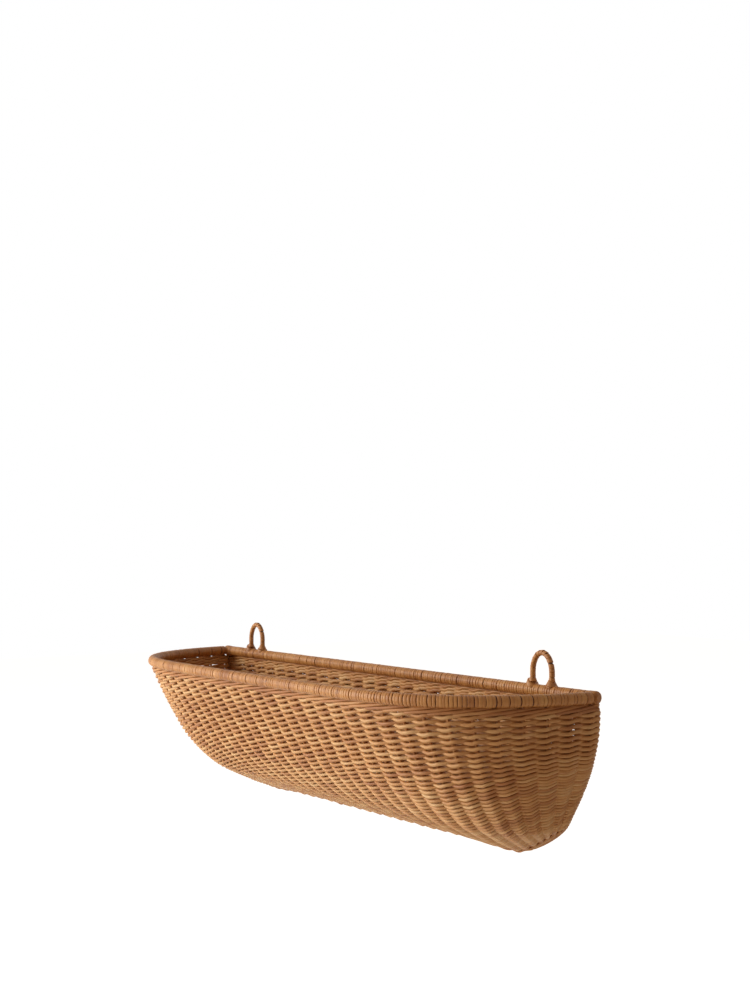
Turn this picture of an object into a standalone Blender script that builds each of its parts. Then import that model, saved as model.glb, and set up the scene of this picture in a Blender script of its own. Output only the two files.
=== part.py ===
"""Woven rattan wall pocket: a half-boat trough that hangs flat on a wall by two loops.

Bent cane stakes run down the back, turn under the bottom and fan up the front.
Strands of round core are woven in front of and behind them, so the wall is two woven
skins with the stakes caught between. A straight rail and a bent bow, both bound with
cane, finish the mouth, and two bound loops stand on the rail to take the hooks.

Metres, +Z up. The wall is the plane Y = 0 and the pocket reaches towards -Y. X runs
along the rail, with X = 0 half way. Z = 0 is where the hooks hold the loops. The shapes are
laid out from the rim's centre line and lowered to that height at the end.
"""

import math

import bmesh
import bpy
from mathutils import Vector

# Rim
RIM_LENGTH = 0.700  # between the centres of the two end rods, at the wall
RIM_REACH = 0.175  # from the rail's centre line to the foremost point of the bow's
RIM_CORE_RADIUS = 0.0050  # the rods inside the cane binding
BINDING_THICKNESS = 0.0009  # cane peel wound on the rods
BINDING_GROOVE = 0.0004  # depth of the grooves between bunches of turns
BUNCH_LENGTH = 0.036  # one bunch of close turns, from groove to groove
CORNER_LASHING_THICKNESS = 0.0012  # the extra turns that tie the bow to the rail
BOW_SQUARENESS_X = 6.1  # exponents of the superellipse that the bow is bent to
BOW_SQUARENESS_Y = 1.6

# Woven wall
BODY_HEIGHT = 0.165  # from the rim's centre line down to the bottom
STRAND_THICKNESS = 0.0026  # each woven skin
FLUTE_DEPTH = 0.0019  # the outer skin draws in this much half way between two stakes
STAKE_RADIUS = 0.0018
WALL_SQUARENESS_X = 6.3
WALL_SQUARENESS_TOP = 1.62  # the front corners are soft at the rim
WALL_SQUARENESS_BOTTOM = 2.82  # and squarer at the bottom
BACK_EDGE_WIDTH = 0.012  # from the wall to the last stake
BACK_EDGE_BEVEL = 0.0025
# Shares of a stake's length with a level of points. The inner skin closes at the last
# but one, where the front and the back of the pocket come together.
ROW_SHARES = (0.00, 0.30, 0.58, 0.76, 0.88, 0.955, 1.00)
# Share of the height, and the share of the mouth's half width left there.
WIDTH_PROFILE = (
    (0.00, 1.000), (0.25, 0.990), (0.45, 0.963), (0.60, 0.929), (0.72, 0.895),
    (0.82, 0.862), (0.88, 0.815), (0.93, 0.772), (0.97, 0.734), (1.00, 0.697),
)
# Share of the height, and the share of the mouth's reach left there.
REACH_PROFILE = (
    (0.00, 1.000), (0.20, 0.895), (0.40, 0.790), (0.60, 0.677), (0.80, 0.481),
    (0.93, 0.253), (1.00, 0.080),
)

# Stakes
BACK_STAKE_MARGIN = 0.025  # from the bow's end to the outermost bent stake, on the rail
BOTTOM_STAKE_SPREAD = 0.9708  # share of the bottom's width that the bent stakes take
U_STAKES_EACH_SIDE = 13  # bent stakes on each side of the middle one
END_STAKES = 5  # straight stakes in each end, which meet at the lower corner
END_STAKE_RISE = 0.03  # each end stake stops this share of the height above the last
END_STAKE_STOP = 0.004  # length cut off an end stake before the back edge
STAKE_SIDES = 5

# Border: each stake's end turns sideways under the rim and climbs along it
BORDER_RUN = 0.030  # length of the climb
BORDER_TURN = 0.014  # length along the rim in which a stake leaves its line
BORDER_FIRST_BEND = 0.45  # share of that length at which it has half left it
CORNER_STOP = 0.008  # a laid-down end stops this far past the last stake

# Hanging loops
LOOP_MARGIN = 0.0746  # from the bow's end to the middle of the loop
LOOP_EYE_WIDTH = 0.0224
LOOP_EYE_HEIGHT = 0.0287  # from the bound rail up to the inside of the loop's top
LOOP_CORE_RADIUS = 0.0018
LOOP_BINDING_THICKNESS = 0.0008
LOOP_BUNCHES = 8  # bunches of turns along each loop
SADDLE_HEIGHT = 0.0075  # the flared turns that tie each leg to the rail
SADDLE_FLARE = 0.0028
SADDLE_THICKNESS = 0.0010

# Fineness of the shapes
ROD_SIDES = 8
LASHING_SIDES = 16
STRAIGHT = 0.0001  # a rod's points this close to a straight line are left out
FINE_STEPS = 900  # steps along a curve that is measured by its length
SMOOTH_ANGLE = math.radians(50)  # sharper edges than this stay sharp

# Fits
GAP = 0.0003  # between pieces that touch

BACK_STAKE_PITCH = (RIM_LENGTH / 2 - BACK_STAKE_MARGIN) / U_STAKES_EACH_SIDE
LOOP_SPACING = RIM_LENGTH - 2 * LOOP_MARGIN
RIM_RADIUS = RIM_CORE_RADIUS + GAP + BINDING_THICKNESS
LASHING_RADIUS = RIM_CORE_RADIUS + GAP + CORNER_LASHING_THICKNESS
LOOP_RADIUS = LOOP_CORE_RADIUS + GAP + LOOP_BINDING_THICKNESS
SADDLE_RADIUS = LOOP_RADIUS + GAP + SADDLE_THICKNESS
# The rail's lashings and the saddles just clear the wall plane.
RAIL_Y = -max(LASHING_RADIUS, RIM_RADIUS + GAP + SADDLE_THICKNESS) - GAP / 2
STAKE_INSET = STRAND_THICKNESS + GAP + STAKE_RADIUS
INNER_SKIN_INSET = STAKE_INSET + STAKE_RADIUS + GAP
WALL_THICKNESS = INNER_SKIN_INSET + STRAND_THICKNESS
# The wall hangs under the rim with its middle below the rim's centre line.
MOUTH_HALF_WIDTH = RIM_LENGTH / 2 + WALL_THICKNESS / 2
MOUTH_REACH = -RAIL_Y + RIM_REACH + WALL_THICKNESS / 2
BORDER_TOP = LASHING_RADIUS + GAP + STAKE_RADIUS
# Two neighbouring ends lie side by side, one stake pitch apart along the rim.
BORDER_SLOPE = (2 * STAKE_RADIUS + 2 * GAP) / BACK_STAKE_PITCH
BORDER_FOOT = BORDER_TOP + BORDER_RUN * BORDER_SLOPE
BORDER_INSET = STAKE_INSET - 2 * STAKE_RADIUS - GAP
SKIN_TOP = BORDER_FOOT + STAKE_RADIUS + 3 * GAP
HOOK_HEIGHT = RIM_RADIUS + LOOP_EYE_HEIGHT


def smooth(stations, share):
    """Reads a smooth curve through the stations, which are pairs of share and value."""
    last = len(stations) - 1
    slopes = []
    for i in range(last + 1):
        low, high = stations[max(i - 1, 0)], stations[min(i + 1, last)]
        slopes.append((high[1] - low[1]) / (high[0] - low[0]))
    i = 0
    while i < last - 1 and share > stations[i + 1][0]:
        i += 1
    (x0, y0), (x1, y1) = stations[i], stations[i + 1]
    step = x1 - x0
    t = (share - x0) / step
    return (
        (1 + 2 * t) * (1 - t) ** 2 * y0
        + t * (1 - t) ** 2 * step * slopes[i]
        + t * t * (3 - 2 * t) * y1
        + t * t * (t - 1) * step * slopes[i + 1]
    )


def half_width(level):
    """Half width of the pocket at a level, 0 at the rim's centre and 1 at the bottom."""
    return MOUTH_HALF_WIDTH * smooth(WIDTH_PROFILE, level)


def reach(level):
    """How far the front stands from the wall at a level."""
    return MOUTH_REACH * smooth(REACH_PROFILE, level)


def squareness_y(level):
    return WALL_SQUARENESS_TOP + (WALL_SQUARENESS_BOTTOM - WALL_SQUARENESS_TOP) * level


def section_excess(x, y, level):
    """Below 0 inside the outline that the pocket has at a level, and above 0 outside."""
    across = abs(x) / half_width(level)
    out = abs(y) / reach(level)
    return across**WALL_SQUARENESS_X + out ** squareness_y(level) - 1


def section_point(angle, level):
    """A point of the outline at a level, from 0 at the right corner to pi at the left."""
    cos, sin = math.cos(angle), math.sin(angle)
    x = math.copysign(abs(cos) ** (2 / WALL_SQUARENESS_X), cos) * half_width(level)
    y = -abs(sin) ** (2 / squareness_y(level)) * reach(level)
    return x, y


def spread(points, count):
    """Picks count + 1 points at even steps of length along a line of points."""
    lengths = [0.0]
    for a, b in zip(points, points[1:]):
        lengths.append(lengths[-1] + math.dist(a, b))
    picked = []
    i = 0
    for step in range(count + 1):
        target = lengths[-1] * step / count
        while i < len(points) - 2 and lengths[i + 1] < target:
            i += 1
        share = (target - lengths[i]) / (lengths[i + 1] - lengths[i])
        picked.append(tuple(a + (b - a) * share for a, b in zip(points[i], points[i + 1])))
    return picked


def rim_outline():
    """(length, angle) pairs round the right half of the mouth, from the front's middle."""
    pairs = [(0.0, math.pi / 2)]
    before = section_point(math.pi / 2, 0)
    for i in range(1, FINE_STEPS + 1):
        # Steps that grow from the front's middle, where the outline runs along X.
        angle = math.pi / 2 * (1 - (i / FINE_STEPS) ** 3)
        point = section_point(angle, 0)
        pairs.append((pairs[-1][0] + math.dist(before, point), angle))
        before = point
    return pairs


def angle_at(pairs, length):
    """Angle of the point that lies a length to the right of the front's middle."""
    if length < 0:
        return math.pi - angle_at(pairs, -length)
    for (low, start), (high, end) in zip(pairs, pairs[1:]):
        if length <= high:
            return start + (end - start) * (length - low) / (high - low)
    return 0.0


def last_stake_length(pairs):
    """Length round the mouth at which the last stake stands, one edge from the wall."""
    for length, angle in pairs:
        if -section_point(angle, 0)[1] < BACK_EDGE_WIDTH:
            return length
    return pairs[-1][0]


def stake_end(number):
    """Level, X and Y of the point where a stake of the right half reaches the back edge."""
    beyond = number - U_STAKES_EACH_SIDE + 1
    if beyond <= 0:
        x = half_width(1) * BOTTOM_STAKE_SPREAD * number / (U_STAKES_EACH_SIDE - 1)
        y = reach(1) * (1 - (x / half_width(1)) ** WALL_SQUARENESS_X) ** (1 / squareness_y(1))
        return 1.0, x, -max(y, BACK_EDGE_WIDTH)
    level = 1 - END_STAKE_RISE * beyond
    out = (BACK_EDGE_WIDTH / reach(level)) ** squareness_y(level)
    return level, half_width(level) * (1 - out) ** (1 / WALL_SQUARENESS_X), -BACK_EDGE_WIDTH


def surface_point(top, end, level):
    """Where the upright plane through a stake's two ends cuts the outline at a level."""
    low, high = -0.2, 1.2
    for _ in range(40):
        middle = (low + high) / 2
        x = top[0] + (end[0] - top[0]) * middle
        y = top[1] + (end[1] - top[1]) * middle
        if section_excess(x, y, level) > 0:
            low = middle
        else:
            high = middle
    return Vector((x, y, -level * BODY_HEIGHT))


def surface_normal(point):
    """Outward normal of the wall's outer face at a point on it."""
    small = 1e-5
    level = -point.z / BODY_HEIGHT
    excess = section_excess(point.x, point.y, level)
    slope_x = section_excess(point.x + small, point.y, level) - excess
    slope_y = section_excess(point.x, point.y + small, level) - excess
    rise = small / BODY_HEIGHT
    slope_z = excess - section_excess(point.x, point.y, level + rise)
    if level + rise > 1:
        slope_z = section_excess(point.x, point.y, level - rise) - excess
    return Vector((slope_x, slope_y, slope_z)).normalized()


def wall_columns(pairs):
    """(point, normal) pairs down every stake's line, from the left end round to the right.

    They start level with the top of the woven skins and end at the back edge.
    """
    most = U_STAKES_EACH_SIDE + END_STAKES
    pitch = last_stake_length(pairs) / most
    start = SKIN_TOP / BODY_HEIGHT
    right = []
    for number in range(most + 1):
        top = section_point(angle_at(pairs, number * pitch), 0)
        stop, end_x, end_y = stake_end(number)
        column = []
        for share in ROW_SHARES:
            level = start + (stop - start) * share
            point = surface_point(top, (end_x, end_y), level)
            column.append((point, surface_normal(point)))
        right.append(column)
    left = []
    for column in right[:0:-1]:
        left.append([(mirrored(point), mirrored(normal)) for point, normal in column])
    return left + right


def mirrored(vector):
    return Vector((-vector.x, vector.y, vector.z))


def fluted(columns, pitch):
    """The columns with one more between each two, drawn in where no stake holds the skin.

    Where the stakes come closer together than pitch, the flutes get shallower with them.
    """
    result = [columns[0]]
    for left, right in zip(columns, columns[1:]):
        between = []
        for (left_point, left_normal), (right_point, right_normal) in zip(left, right):
            normal = (left_normal + right_normal).normalized()
            depth = FLUTE_DEPTH * min(1.0, (right_point - left_point).length / pitch)
            between.append(((left_point + right_point) / 2 - depth * normal, normal))
        result += [between, right]
    return result


def rattan(name, colour, roughness):
    """A plain finish for one sort of cane."""
    material = bpy.data.materials.new(name)
    material.use_nodes = True
    shader = material.node_tree.nodes["Principled BSDF"]
    shader.inputs["Base Color"].default_value = (*colour, 1.0)
    shader.inputs["Roughness"].default_value = roughness
    shader.inputs["Metallic"].default_value = 0.0
    return material


def add_object(name, mesh, material):
    """Puts a mesh in the scene under its name, with its normals out and its finish on."""
    cleaner = bmesh.new()
    cleaner.from_mesh(mesh)
    bmesh.ops.recalc_face_normals(cleaner, faces=cleaner.faces)
    cleaner.to_mesh(mesh)
    cleaner.free()
    mesh.materials.append(material)
    mesh.shade_smooth()
    mesh.set_sharp_from_angle(angle=SMOOTH_ANGLE)
    obj = bpy.data.objects.new(name, mesh)
    bpy.context.scene.collection.objects.link(obj)
    return obj


def mesh_from(name, points, faces):
    mesh = bpy.data.meshes.new(name)
    mesh.from_pydata([tuple(point) for point in points], [], faces)
    return mesh


def skin_face(columns, inset, last_row):
    """One face of a woven skin: its points, and faces as rows of point numbers.

    The front patch follows the stakes' lines. A narrow strip joins it to the wall
    plane, and one flat panel closes the back. The faces point away from the pocket.
    """
    points = []
    loops = []
    back = -inset
    bevel = back - BACK_EDGE_BEVEL
    for row in range(last_row + 1):
        line = [point - inset * normal for point, normal in (c[row] for c in columns)]
        for place in line:
            place.y = min(place.y, bevel - GAP)
        first, last = line[0], line[-1]
        ring = [Vector((first.x + BACK_EDGE_BEVEL, back, first.z)), Vector((first.x, bevel, first.z))]
        ring += line
        ring += [Vector((last.x, bevel, last.z)), Vector((last.x - BACK_EDGE_BEVEL, back, last.z))]
        loops.append(list(range(len(points), len(points) + len(ring))))
        points += ring
    faces = []
    for upper, lower in zip(loops, loops[1:]):
        for i in range(len(upper) - 1):
            faces.append((upper[i], upper[i + 1], lower[i + 1], lower[i]))
    # The bottom strip runs from the last row back to the panel, bevelled at its edge.
    last_line = loops[-1][2:-2]
    bevel_line = [loops[-1][1]]
    panel_line = [loops[-1][0]]
    for column, index in list(zip(columns, last_line))[1:-1]:
        point = points[index]
        outward = column[last_row][1]
        outward = Vector((outward.x, 0, outward.z)).normalized() * BACK_EDGE_BEVEL
        bevel_line.append(len(points))
        points.append(Vector((point.x, bevel, point.z)))
        panel_line.append(len(points))
        points.append(Vector((point.x - outward.x, back, point.z - outward.z)))
    bevel_line.append(loops[-1][-2])
    panel_line.append(loops[-1][-1])
    for i in range(len(last_line) - 1):
        faces.append((last_line[i], last_line[i + 1], bevel_line[i + 1], bevel_line[i]))
        faces.append((bevel_line[i], bevel_line[i + 1], panel_line[i + 1], panel_line[i]))
    left_edge = [loop[0] for loop in loops]
    right_edge = [loop[-1] for loop in loops]
    faces.append(tuple(left_edge + panel_line[1:-1] + right_edge[::-1]))
    return points, faces, loops[0]


def add_skin(name, columns, outer_inset, last_row, material):
    """A woven skin: two faces of the same form, one strand apart, joined round the top."""
    points, faces, outer_top = skin_face(columns, outer_inset, last_row)
    more, inner_faces, inner_top = skin_face(columns, outer_inset + STRAND_THICKNESS, last_row)
    shift = len(points)
    points += more
    faces += [tuple(i + shift for i in reversed(face)) for face in inner_faces]
    inner_top = [i + shift for i in inner_top]
    for i in range(len(outer_top)):
        j = (i + 1) % len(outer_top)
        faces.append((outer_top[i], inner_top[i], inner_top[j], outer_top[j]))
    return add_object(name, mesh_from(name, points, faces), material)


def without_straight(line):
    """Leaves out the points that lie on the straight line between their neighbours."""
    kept = [line[0]]
    for i in range(1, len(line) - 1):
        way = (line[i + 1] - kept[-1]).normalized()
        step = line[i] - kept[-1]
        if (step - way * step.dot(way)).length > STRAIGHT:
            kept.append(line[i])
    return kept + [line[-1]]


def rings_along(line, radii, sides, up=None, end_axis=None):
    """Rings of points round a line, each square to the line there.

    up is a direction that no part of the line follows. It keeps the facets of a rod
    and of its binding in step. The end rings stand square to end_axis, if it is given.
    """
    rings = []
    last = len(line) - 1
    side = up
    for i, point in enumerate(line):
        along = (line[min(i + 1, last)] - line[max(i - 1, 0)]).normalized()
        if end_axis is not None and i in (0, last):
            along = end_axis * math.copysign(1.0, along.dot(end_axis))
        if side is None:
            side = along.orthogonal()
        side = (side - along * side.dot(along)).normalized()
        across = along.cross(side)
        ring = []
        for k in range(sides):
            angle = 2 * math.pi * k / sides
            ring.append(point + (side * math.cos(angle) + across * math.sin(angle)) * radii[i])
        rings.append(ring)
    return rings


def ring_faces(first, second, sides):
    """Faces between two rings, which start at the given point numbers."""
    faces = []
    for k in range(sides):
        m = (k + 1) % sides
        faces.append((first + k, first + m, second + m, second + k))
    return faces


def add_rod(name, line, radius, sides, material, up=None, end_axis=None):
    """A round rod swept along a line, with flat ends."""
    line = [Vector(place) for place in line]
    rings = rings_along(line, [radius] * len(line), sides, up, end_axis)
    points = [point for ring in rings for point in ring]
    end = len(points) - sides
    faces = [tuple(range(sides)), tuple(range(end, end + sides))]
    for i in range(len(rings) - 1):
        faces += ring_faces(i * sides, (i + 1) * sides, sides)
    return add_object(name, mesh_from(name, points, faces), material)


def add_sleeve(name, line, radii, bore_line, bore_radius, sides, material, up, end_axis):
    """A binding round a rod: grooved outside, with a plain bore and flat ends."""
    outer = rings_along(line, radii, sides, up, end_axis)
    inner = rings_along(bore_line, [bore_radius] * len(bore_line), sides, up, end_axis)
    rings = outer + inner[::-1]
    points = [point for ring in rings for point in ring]
    faces = []
    for i in range(len(rings)):
        faces += ring_faces(i * sides, (i + 1) % len(rings) * sides, sides)
    return add_object(name, mesh_from(name, points, faces), material)


def bore_round(radius, sides):
    """Corner radius of a bore whose flat sides clear those of a rod with as many sides."""
    return radius + GAP / math.cos(math.pi / sides)


def add_binding(name, line, radius, core_radius, material, up, end_axis):
    """Cane peel wound round a rod, in bunches of close turns with a groove at each end.

    The line has one point at each groove and one in the middle of each bunch.
    """
    line = [Vector(place) for place in line]
    radii = [radius - BINDING_GROOVE * ((i + 1) % 2) for i in range(len(line))]
    bore = without_straight(line)
    bore_radius = bore_round(core_radius, ROD_SIDES)
    return add_sleeve(name, line, radii, bore, bore_radius, ROD_SIDES, material, up, end_axis)


def length_of(path):
    return sum(math.dist(a, b) for a, b in zip(path, path[1:]))


def bow_path():
    """Close points along the bow's centre line, from its right end round to its left."""
    points = []
    for i in range(FINE_STEPS + 1):
        share = 1 - 2 * i / FINE_STEPS
        angle = math.pi / 2 * (1 - math.copysign(abs(share) ** 3, share))
        cos, sin = math.cos(angle), math.sin(angle)
        x = math.copysign(abs(cos) ** (2 / BOW_SQUARENESS_X), cos) * RIM_LENGTH / 2
        y = RAIL_Y - abs(sin) ** (2 / BOW_SQUARENESS_Y) * RIM_REACH
        points.append((x, y, 0.0))
    return points


def cut_short(path, distance):
    """The bow's path without the ends that lie within a distance of the rail's middle."""
    stop = RAIL_Y - distance
    kept = [place for place in path if place[1] < stop]
    first = path.index(kept[0])
    last = path.index(kept[-1])
    ends = []
    for inside, outside in ((path[first], path[first - 1]), (path[last], path[last + 1])):
        share = (stop - outside[1]) / (inside[1] - outside[1])
        ends.append(tuple(a + (b - a) * share for a, b in zip(outside, inside)))
    return [ends[0]] + kept + [ends[1]]


def loop_path(middle, foot):
    """Centre line of one hanging loop: up a leg, over a half round top and down."""
    half = LOOP_EYE_WIDTH / 2 + LOOP_RADIUS
    spring = HOOK_HEIGHT - LOOP_EYE_WIDTH / 2
    points = [(middle - half, RAIL_Y, foot)]
    for i in range(FINE_STEPS + 1):
        angle = math.pi * (1 - i / FINE_STEPS)
        x = middle + half * math.cos(angle)
        points.append((x, RAIL_Y, spring + half * math.sin(angle)))
    points.append((middle + half, RAIL_Y, foot))
    return spread(points, 2 * LOOP_BUNCHES)


def subtract(target, cutter):
    """Cuts one solid out of another. The cutter itself is not part of the object."""
    modifier = target.modifiers.new("Cut", "BOOLEAN")
    modifier.operation = "DIFFERENCE"
    modifier.solver = "EXACT"
    modifier.object = cutter
    cutter.hide_render = True
    cutter.display_type = "WIRE"


def add_cone(name, foot_radius, top_radius, height, centre, axis):
    """A solid cone or cylinder about a centre, with its foot at the axis's start."""
    mesh = bpy.data.meshes.new(name)
    maker = bmesh.new()
    bmesh.ops.create_cone(
        maker, cap_ends=True, segments=LASHING_SIDES, radius1=foot_radius,
        radius2=top_radius, depth=height,
    )
    maker.to_mesh(mesh)
    maker.free()
    turn = Vector((0, 0, 1)).rotation_difference(axis).to_matrix().to_4x4()
    mesh.transform(turn)
    for vertex in mesh.vertices:
        vertex.co += Vector(centre)
    obj = bpy.data.objects.new(name, mesh)
    bpy.context.scene.collection.objects.link(obj)
    return obj


def laid_end(along_limit, place_at):
    """The end of a stake: it leaves its line sideways, then climbs along the rim.

    place_at gives the point at a length to the right, a depth and a share of the way
    out from the stake's own line. The end stops at the limit.
    """
    start = SKIN_TOP - STAKE_RADIUS - GAP
    climb = BORDER_RUN / BORDER_TURN
    points = [place_at(0, start, 0)]
    for share in (BORDER_FIRST_BEND, 1.0, 1.0 + climb / 2, 1.0 + climb):
        along = min(BORDER_TURN * share, along_limit)
        depth = start + (BORDER_FOOT - start) * min(share, 1.0)
        depth -= max(along - BORDER_TURN, 0) * BORDER_SLOPE
        # Halfway out it keeps a little closer to its own line, clear of the one above.
        out = 1.0 if share >= 1.0 else share - GAP / STAKE_RADIUS / 2
        place = place_at(along, depth, out)
        if (place - points[-1]).length < 2 * STAKE_RADIUS:
            break
        points.append(place)
    return points


def stake_line(column, number, pairs, pitch):
    """Centre line of one stake, from its laid-down front end to its other end."""
    base = number * pitch

    def beside_front(along, depth, out):
        level = depth / BODY_HEIGHT
        x, y = section_point(angle_at(pairs, base + along), level)
        point = Vector((x, y, -depth))
        inset = STAKE_INSET + (BORDER_INSET - STAKE_INSET) * out
        return point - inset * surface_normal(point)

    front_limit = last_stake_length(pairs) + CORNER_STOP - base
    line = laid_end(front_limit, beside_front)[::-1]
    line += [point - STAKE_INSET * normal for point, normal in column]
    foot = line[-1]
    if abs(number) > U_STAKES_EACH_SIDE:
        last_way = (foot - line[-2]).normalized()
        line[-1] = foot - last_way * END_STAKE_STOP
        return line
    bend_start = -STAKE_INSET - BACK_EDGE_BEVEL
    if foot.y < bend_start - STAKE_RADIUS:
        line.append(Vector((foot.x, bend_start, foot.z)))
    line.append(Vector((foot.x, -STAKE_INSET, foot.z + BACK_EDGE_BEVEL)))
    top_x = number * BACK_STAKE_PITCH
    line.append(Vector((top_x, -STAKE_INSET, -SKIN_TOP)))

    def beside_rail(along, depth, out):
        inset = STAKE_INSET + (2 * STAKE_RADIUS + GAP) * out
        return Vector((top_x + along, -inset, -depth))

    back_limit = RIM_LENGTH / 2 - LASHING_RADIUS - STAKE_RADIUS - top_x
    return line + laid_end(back_limit, beside_rail)


def add_wall(core):
    """The two woven skins and the stakes between them."""
    pairs = rim_outline()
    columns = wall_columns(pairs)
    most = U_STAKES_EACH_SIDE + END_STAKES
    pitch = last_stake_length(pairs) / most
    last_row = len(ROW_SHARES) - 1
    add_skin("outer_weave", fluted(columns, pitch), 0.0, last_row, core)
    add_skin("inner_weave", columns, INNER_SKIN_INSET, last_row - 1, core)
    for number, column in zip(range(-most, most + 1), columns):
        side = "left" if number < 0 else "right"
        if number == 0:
            name = "stake_middle"
        elif abs(number) > U_STAKES_EACH_SIDE:
            name = f"end_stake_{side}_{abs(number) - U_STAKES_EACH_SIDE}"
        else:
            name = f"stake_{side}_{abs(number):02d}"
        line = without_straight(stake_line(column, number, pairs, pitch))
        add_rod(name, line, STAKE_RADIUS, STAKE_SIDES, core)


def add_rim(core, peel):
    """The rail, the bow, their bindings and the lashings at the two corners."""
    half = RIM_LENGTH / 2
    rail_end = half + LASHING_RADIUS
    up = Vector((0, 0, 1))
    rail = [(-rail_end, RAIL_Y, 0), (rail_end, RAIL_Y, 0)]
    add_rod("back_rail", rail, RIM_CORE_RADIUS, ROD_SIDES, core, up)
    path = bow_path()
    out = Vector((0, 1, 0))
    butt = cut_short(path, RIM_CORE_RADIUS + GAP)
    bound_bow = cut_short(path, LASHING_RADIUS + GAP)
    bound_bow = spread(bound_bow, 2 * round(length_of(bound_bow) / BUNCH_LENGTH))
    bow = [butt[0]] + without_straight([Vector(place) for place in bound_bow]) + [butt[-1]]
    add_rod("front_bow", bow, RIM_CORE_RADIUS, ROD_SIDES, core, up, out)
    add_binding("bow_binding", bound_bow, RIM_RADIUS, RIM_CORE_RADIUS, peel, up, out)
    lashing_start = half - LASHING_RADIUS
    bound = lashing_start - GAP
    bound_rail = [(-bound, RAIL_Y, 0.0), (bound, RAIL_Y, 0.0)]
    bound_rail = spread(bound_rail, 2 * round(length_of(bound_rail) / BUNCH_LENGTH))
    along = Vector((1, 0, 0))
    add_binding("back_binding", bound_rail, RIM_RADIUS, RIM_CORE_RADIUS, peel, up, along)
    for side, sign in (("left", -1), ("right", 1)):
        bow_x = sign * abs(bound_bow[0][0])
        add_corner_lashing(f"corner_lashing_{side}", sign, lashing_start, rail_end, bow_x, peel)


def add_corner_lashing(name, sign, start, end, bow_x, peel):
    """Turns of cane round the rail's end. The bow's end passes through their front."""
    line = []
    for x in (start, (start + end) / 2, end):
        line.append(Vector((sign * x, RAIL_Y, 0)))
    radii = [LASHING_RADIUS - BINDING_GROOVE, LASHING_RADIUS, LASHING_RADIUS - BINDING_GROOVE]
    bore_radius = bore_round(RIM_CORE_RADIUS, LASHING_SIDES)
    up = Vector((0, 0, 1))
    bore = [line[0], line[-1]]
    along = Vector((1, 0, 0))
    lashing = add_sleeve(name, line, radii, bore, bore_radius, LASHING_SIDES, peel, up, along)
    # The hole for the bow runs from the rail's centre out past the lashing.
    depth = 2 * LASHING_RADIUS
    centre = (bow_x, RAIL_Y - depth / 2, 0)
    hole = add_cone(f"{name}_hole", bore_radius, bore_radius, depth, centre, Vector((0, 1, 0)))
    subtract(lashing, hole)


def add_loops(core, peel):
    """The two hanging loops, bound with cane and tied down on the rail."""
    half = LOOP_EYE_WIDTH / 2 + LOOP_RADIUS
    foot = RIM_RADIUS + GAP
    flat = Vector((0, 1, 0))
    upright = Vector((0, 0, 1))
    for side, sign in (("left", -1), ("right", 1)):
        middle = sign * LOOP_SPACING / 2
        line = loop_path(middle, foot)
        core_name = f"loop_core_{side}"
        add_rod(core_name, line, LOOP_CORE_RADIUS, ROD_SIDES, core, flat, upright)
        binding_name = f"loop_binding_{side}"
        add_binding(binding_name, line, LOOP_RADIUS, LOOP_CORE_RADIUS, peel, flat, upright)
        add_saddle(f"loop_lashing_{side}_outer", middle + sign * half, peel)
        add_saddle(f"loop_lashing_{side}_inner", middle - sign * half, peel)


def add_saddle(name, x, peel):
    """The flared turns at the foot of one leg, which straddle the bound rail."""
    bottom = RIM_RADIUS / 2
    height = RIM_RADIUS + SADDLE_HEIGHT - bottom
    centre = (x, RAIL_Y, bottom + height / 2)
    upright = Vector((0, 0, 1))
    foot_radius = SADDLE_RADIUS + SADDLE_FLARE
    saddle = add_cone(name, foot_radius, SADDLE_RADIUS, height, centre, upright)
    # The foot is pressed flat towards the wall, and stops just clear of it.
    squeeze = (-RAIL_Y - GAP / 2) / foot_radius
    for vertex in saddle.data.vertices:
        vertex.co.y = RAIL_Y + (vertex.co.y - RAIL_Y) * squeeze
    saddle.data.materials.append(peel)
    saddle.data.shade_smooth()
    saddle.data.set_sharp_from_angle(angle=SMOOTH_ANGLE)
    leg_radius = bore_round(LOOP_RADIUS, LASHING_SIDES)
    leg = add_cone(f"{name}_leg_hole", leg_radius, leg_radius, 2 * height, centre, upright)
    rail_radius = bore_round(RIM_RADIUS, LASHING_SIDES)
    rail_centre = (x, RAIL_Y, 0)
    along_rail = Vector((1, 0, 0))
    rail = add_cone(
        f"{name}_rail_hole", rail_radius, rail_radius, 4 * foot_radius, rail_centre, along_rail
    )
    subtract(saddle, leg)
    subtract(saddle, rail)


def main():
    for obj in list(bpy.data.objects):
        bpy.data.objects.remove(obj, do_unlink=True)
    core = rattan("natural rattan core", (0.55, 0.33, 0.17), 0.55)
    peel = rattan("glazed cane peel", (0.60, 0.37, 0.18), 0.38)
    add_wall(core)
    add_rim(core, peel)
    add_loops(core, peel)
    for obj in bpy.data.objects:
        obj.location.z = -HOOK_HEIGHT


main()
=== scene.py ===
"""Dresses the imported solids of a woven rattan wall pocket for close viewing.

The pocket is a half boat of twined round core. Every row is two strands that are
twisted together round upright stakes. The stakes' ends lie along under the rim as a
border. A bent bow and a straight rail, both wound with cane peel, make the rim, and
two wound loops stand on the rail.

Metres, +Z up. The wall is the plane Y = 0 and Z = 0 is where the hooks hold the loops.
"""

import logging
import math
from dataclasses import dataclass, field
from enum import Enum

import bmesh
import bpy
import numpy as np
from mathutils import Matrix, Vector

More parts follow.
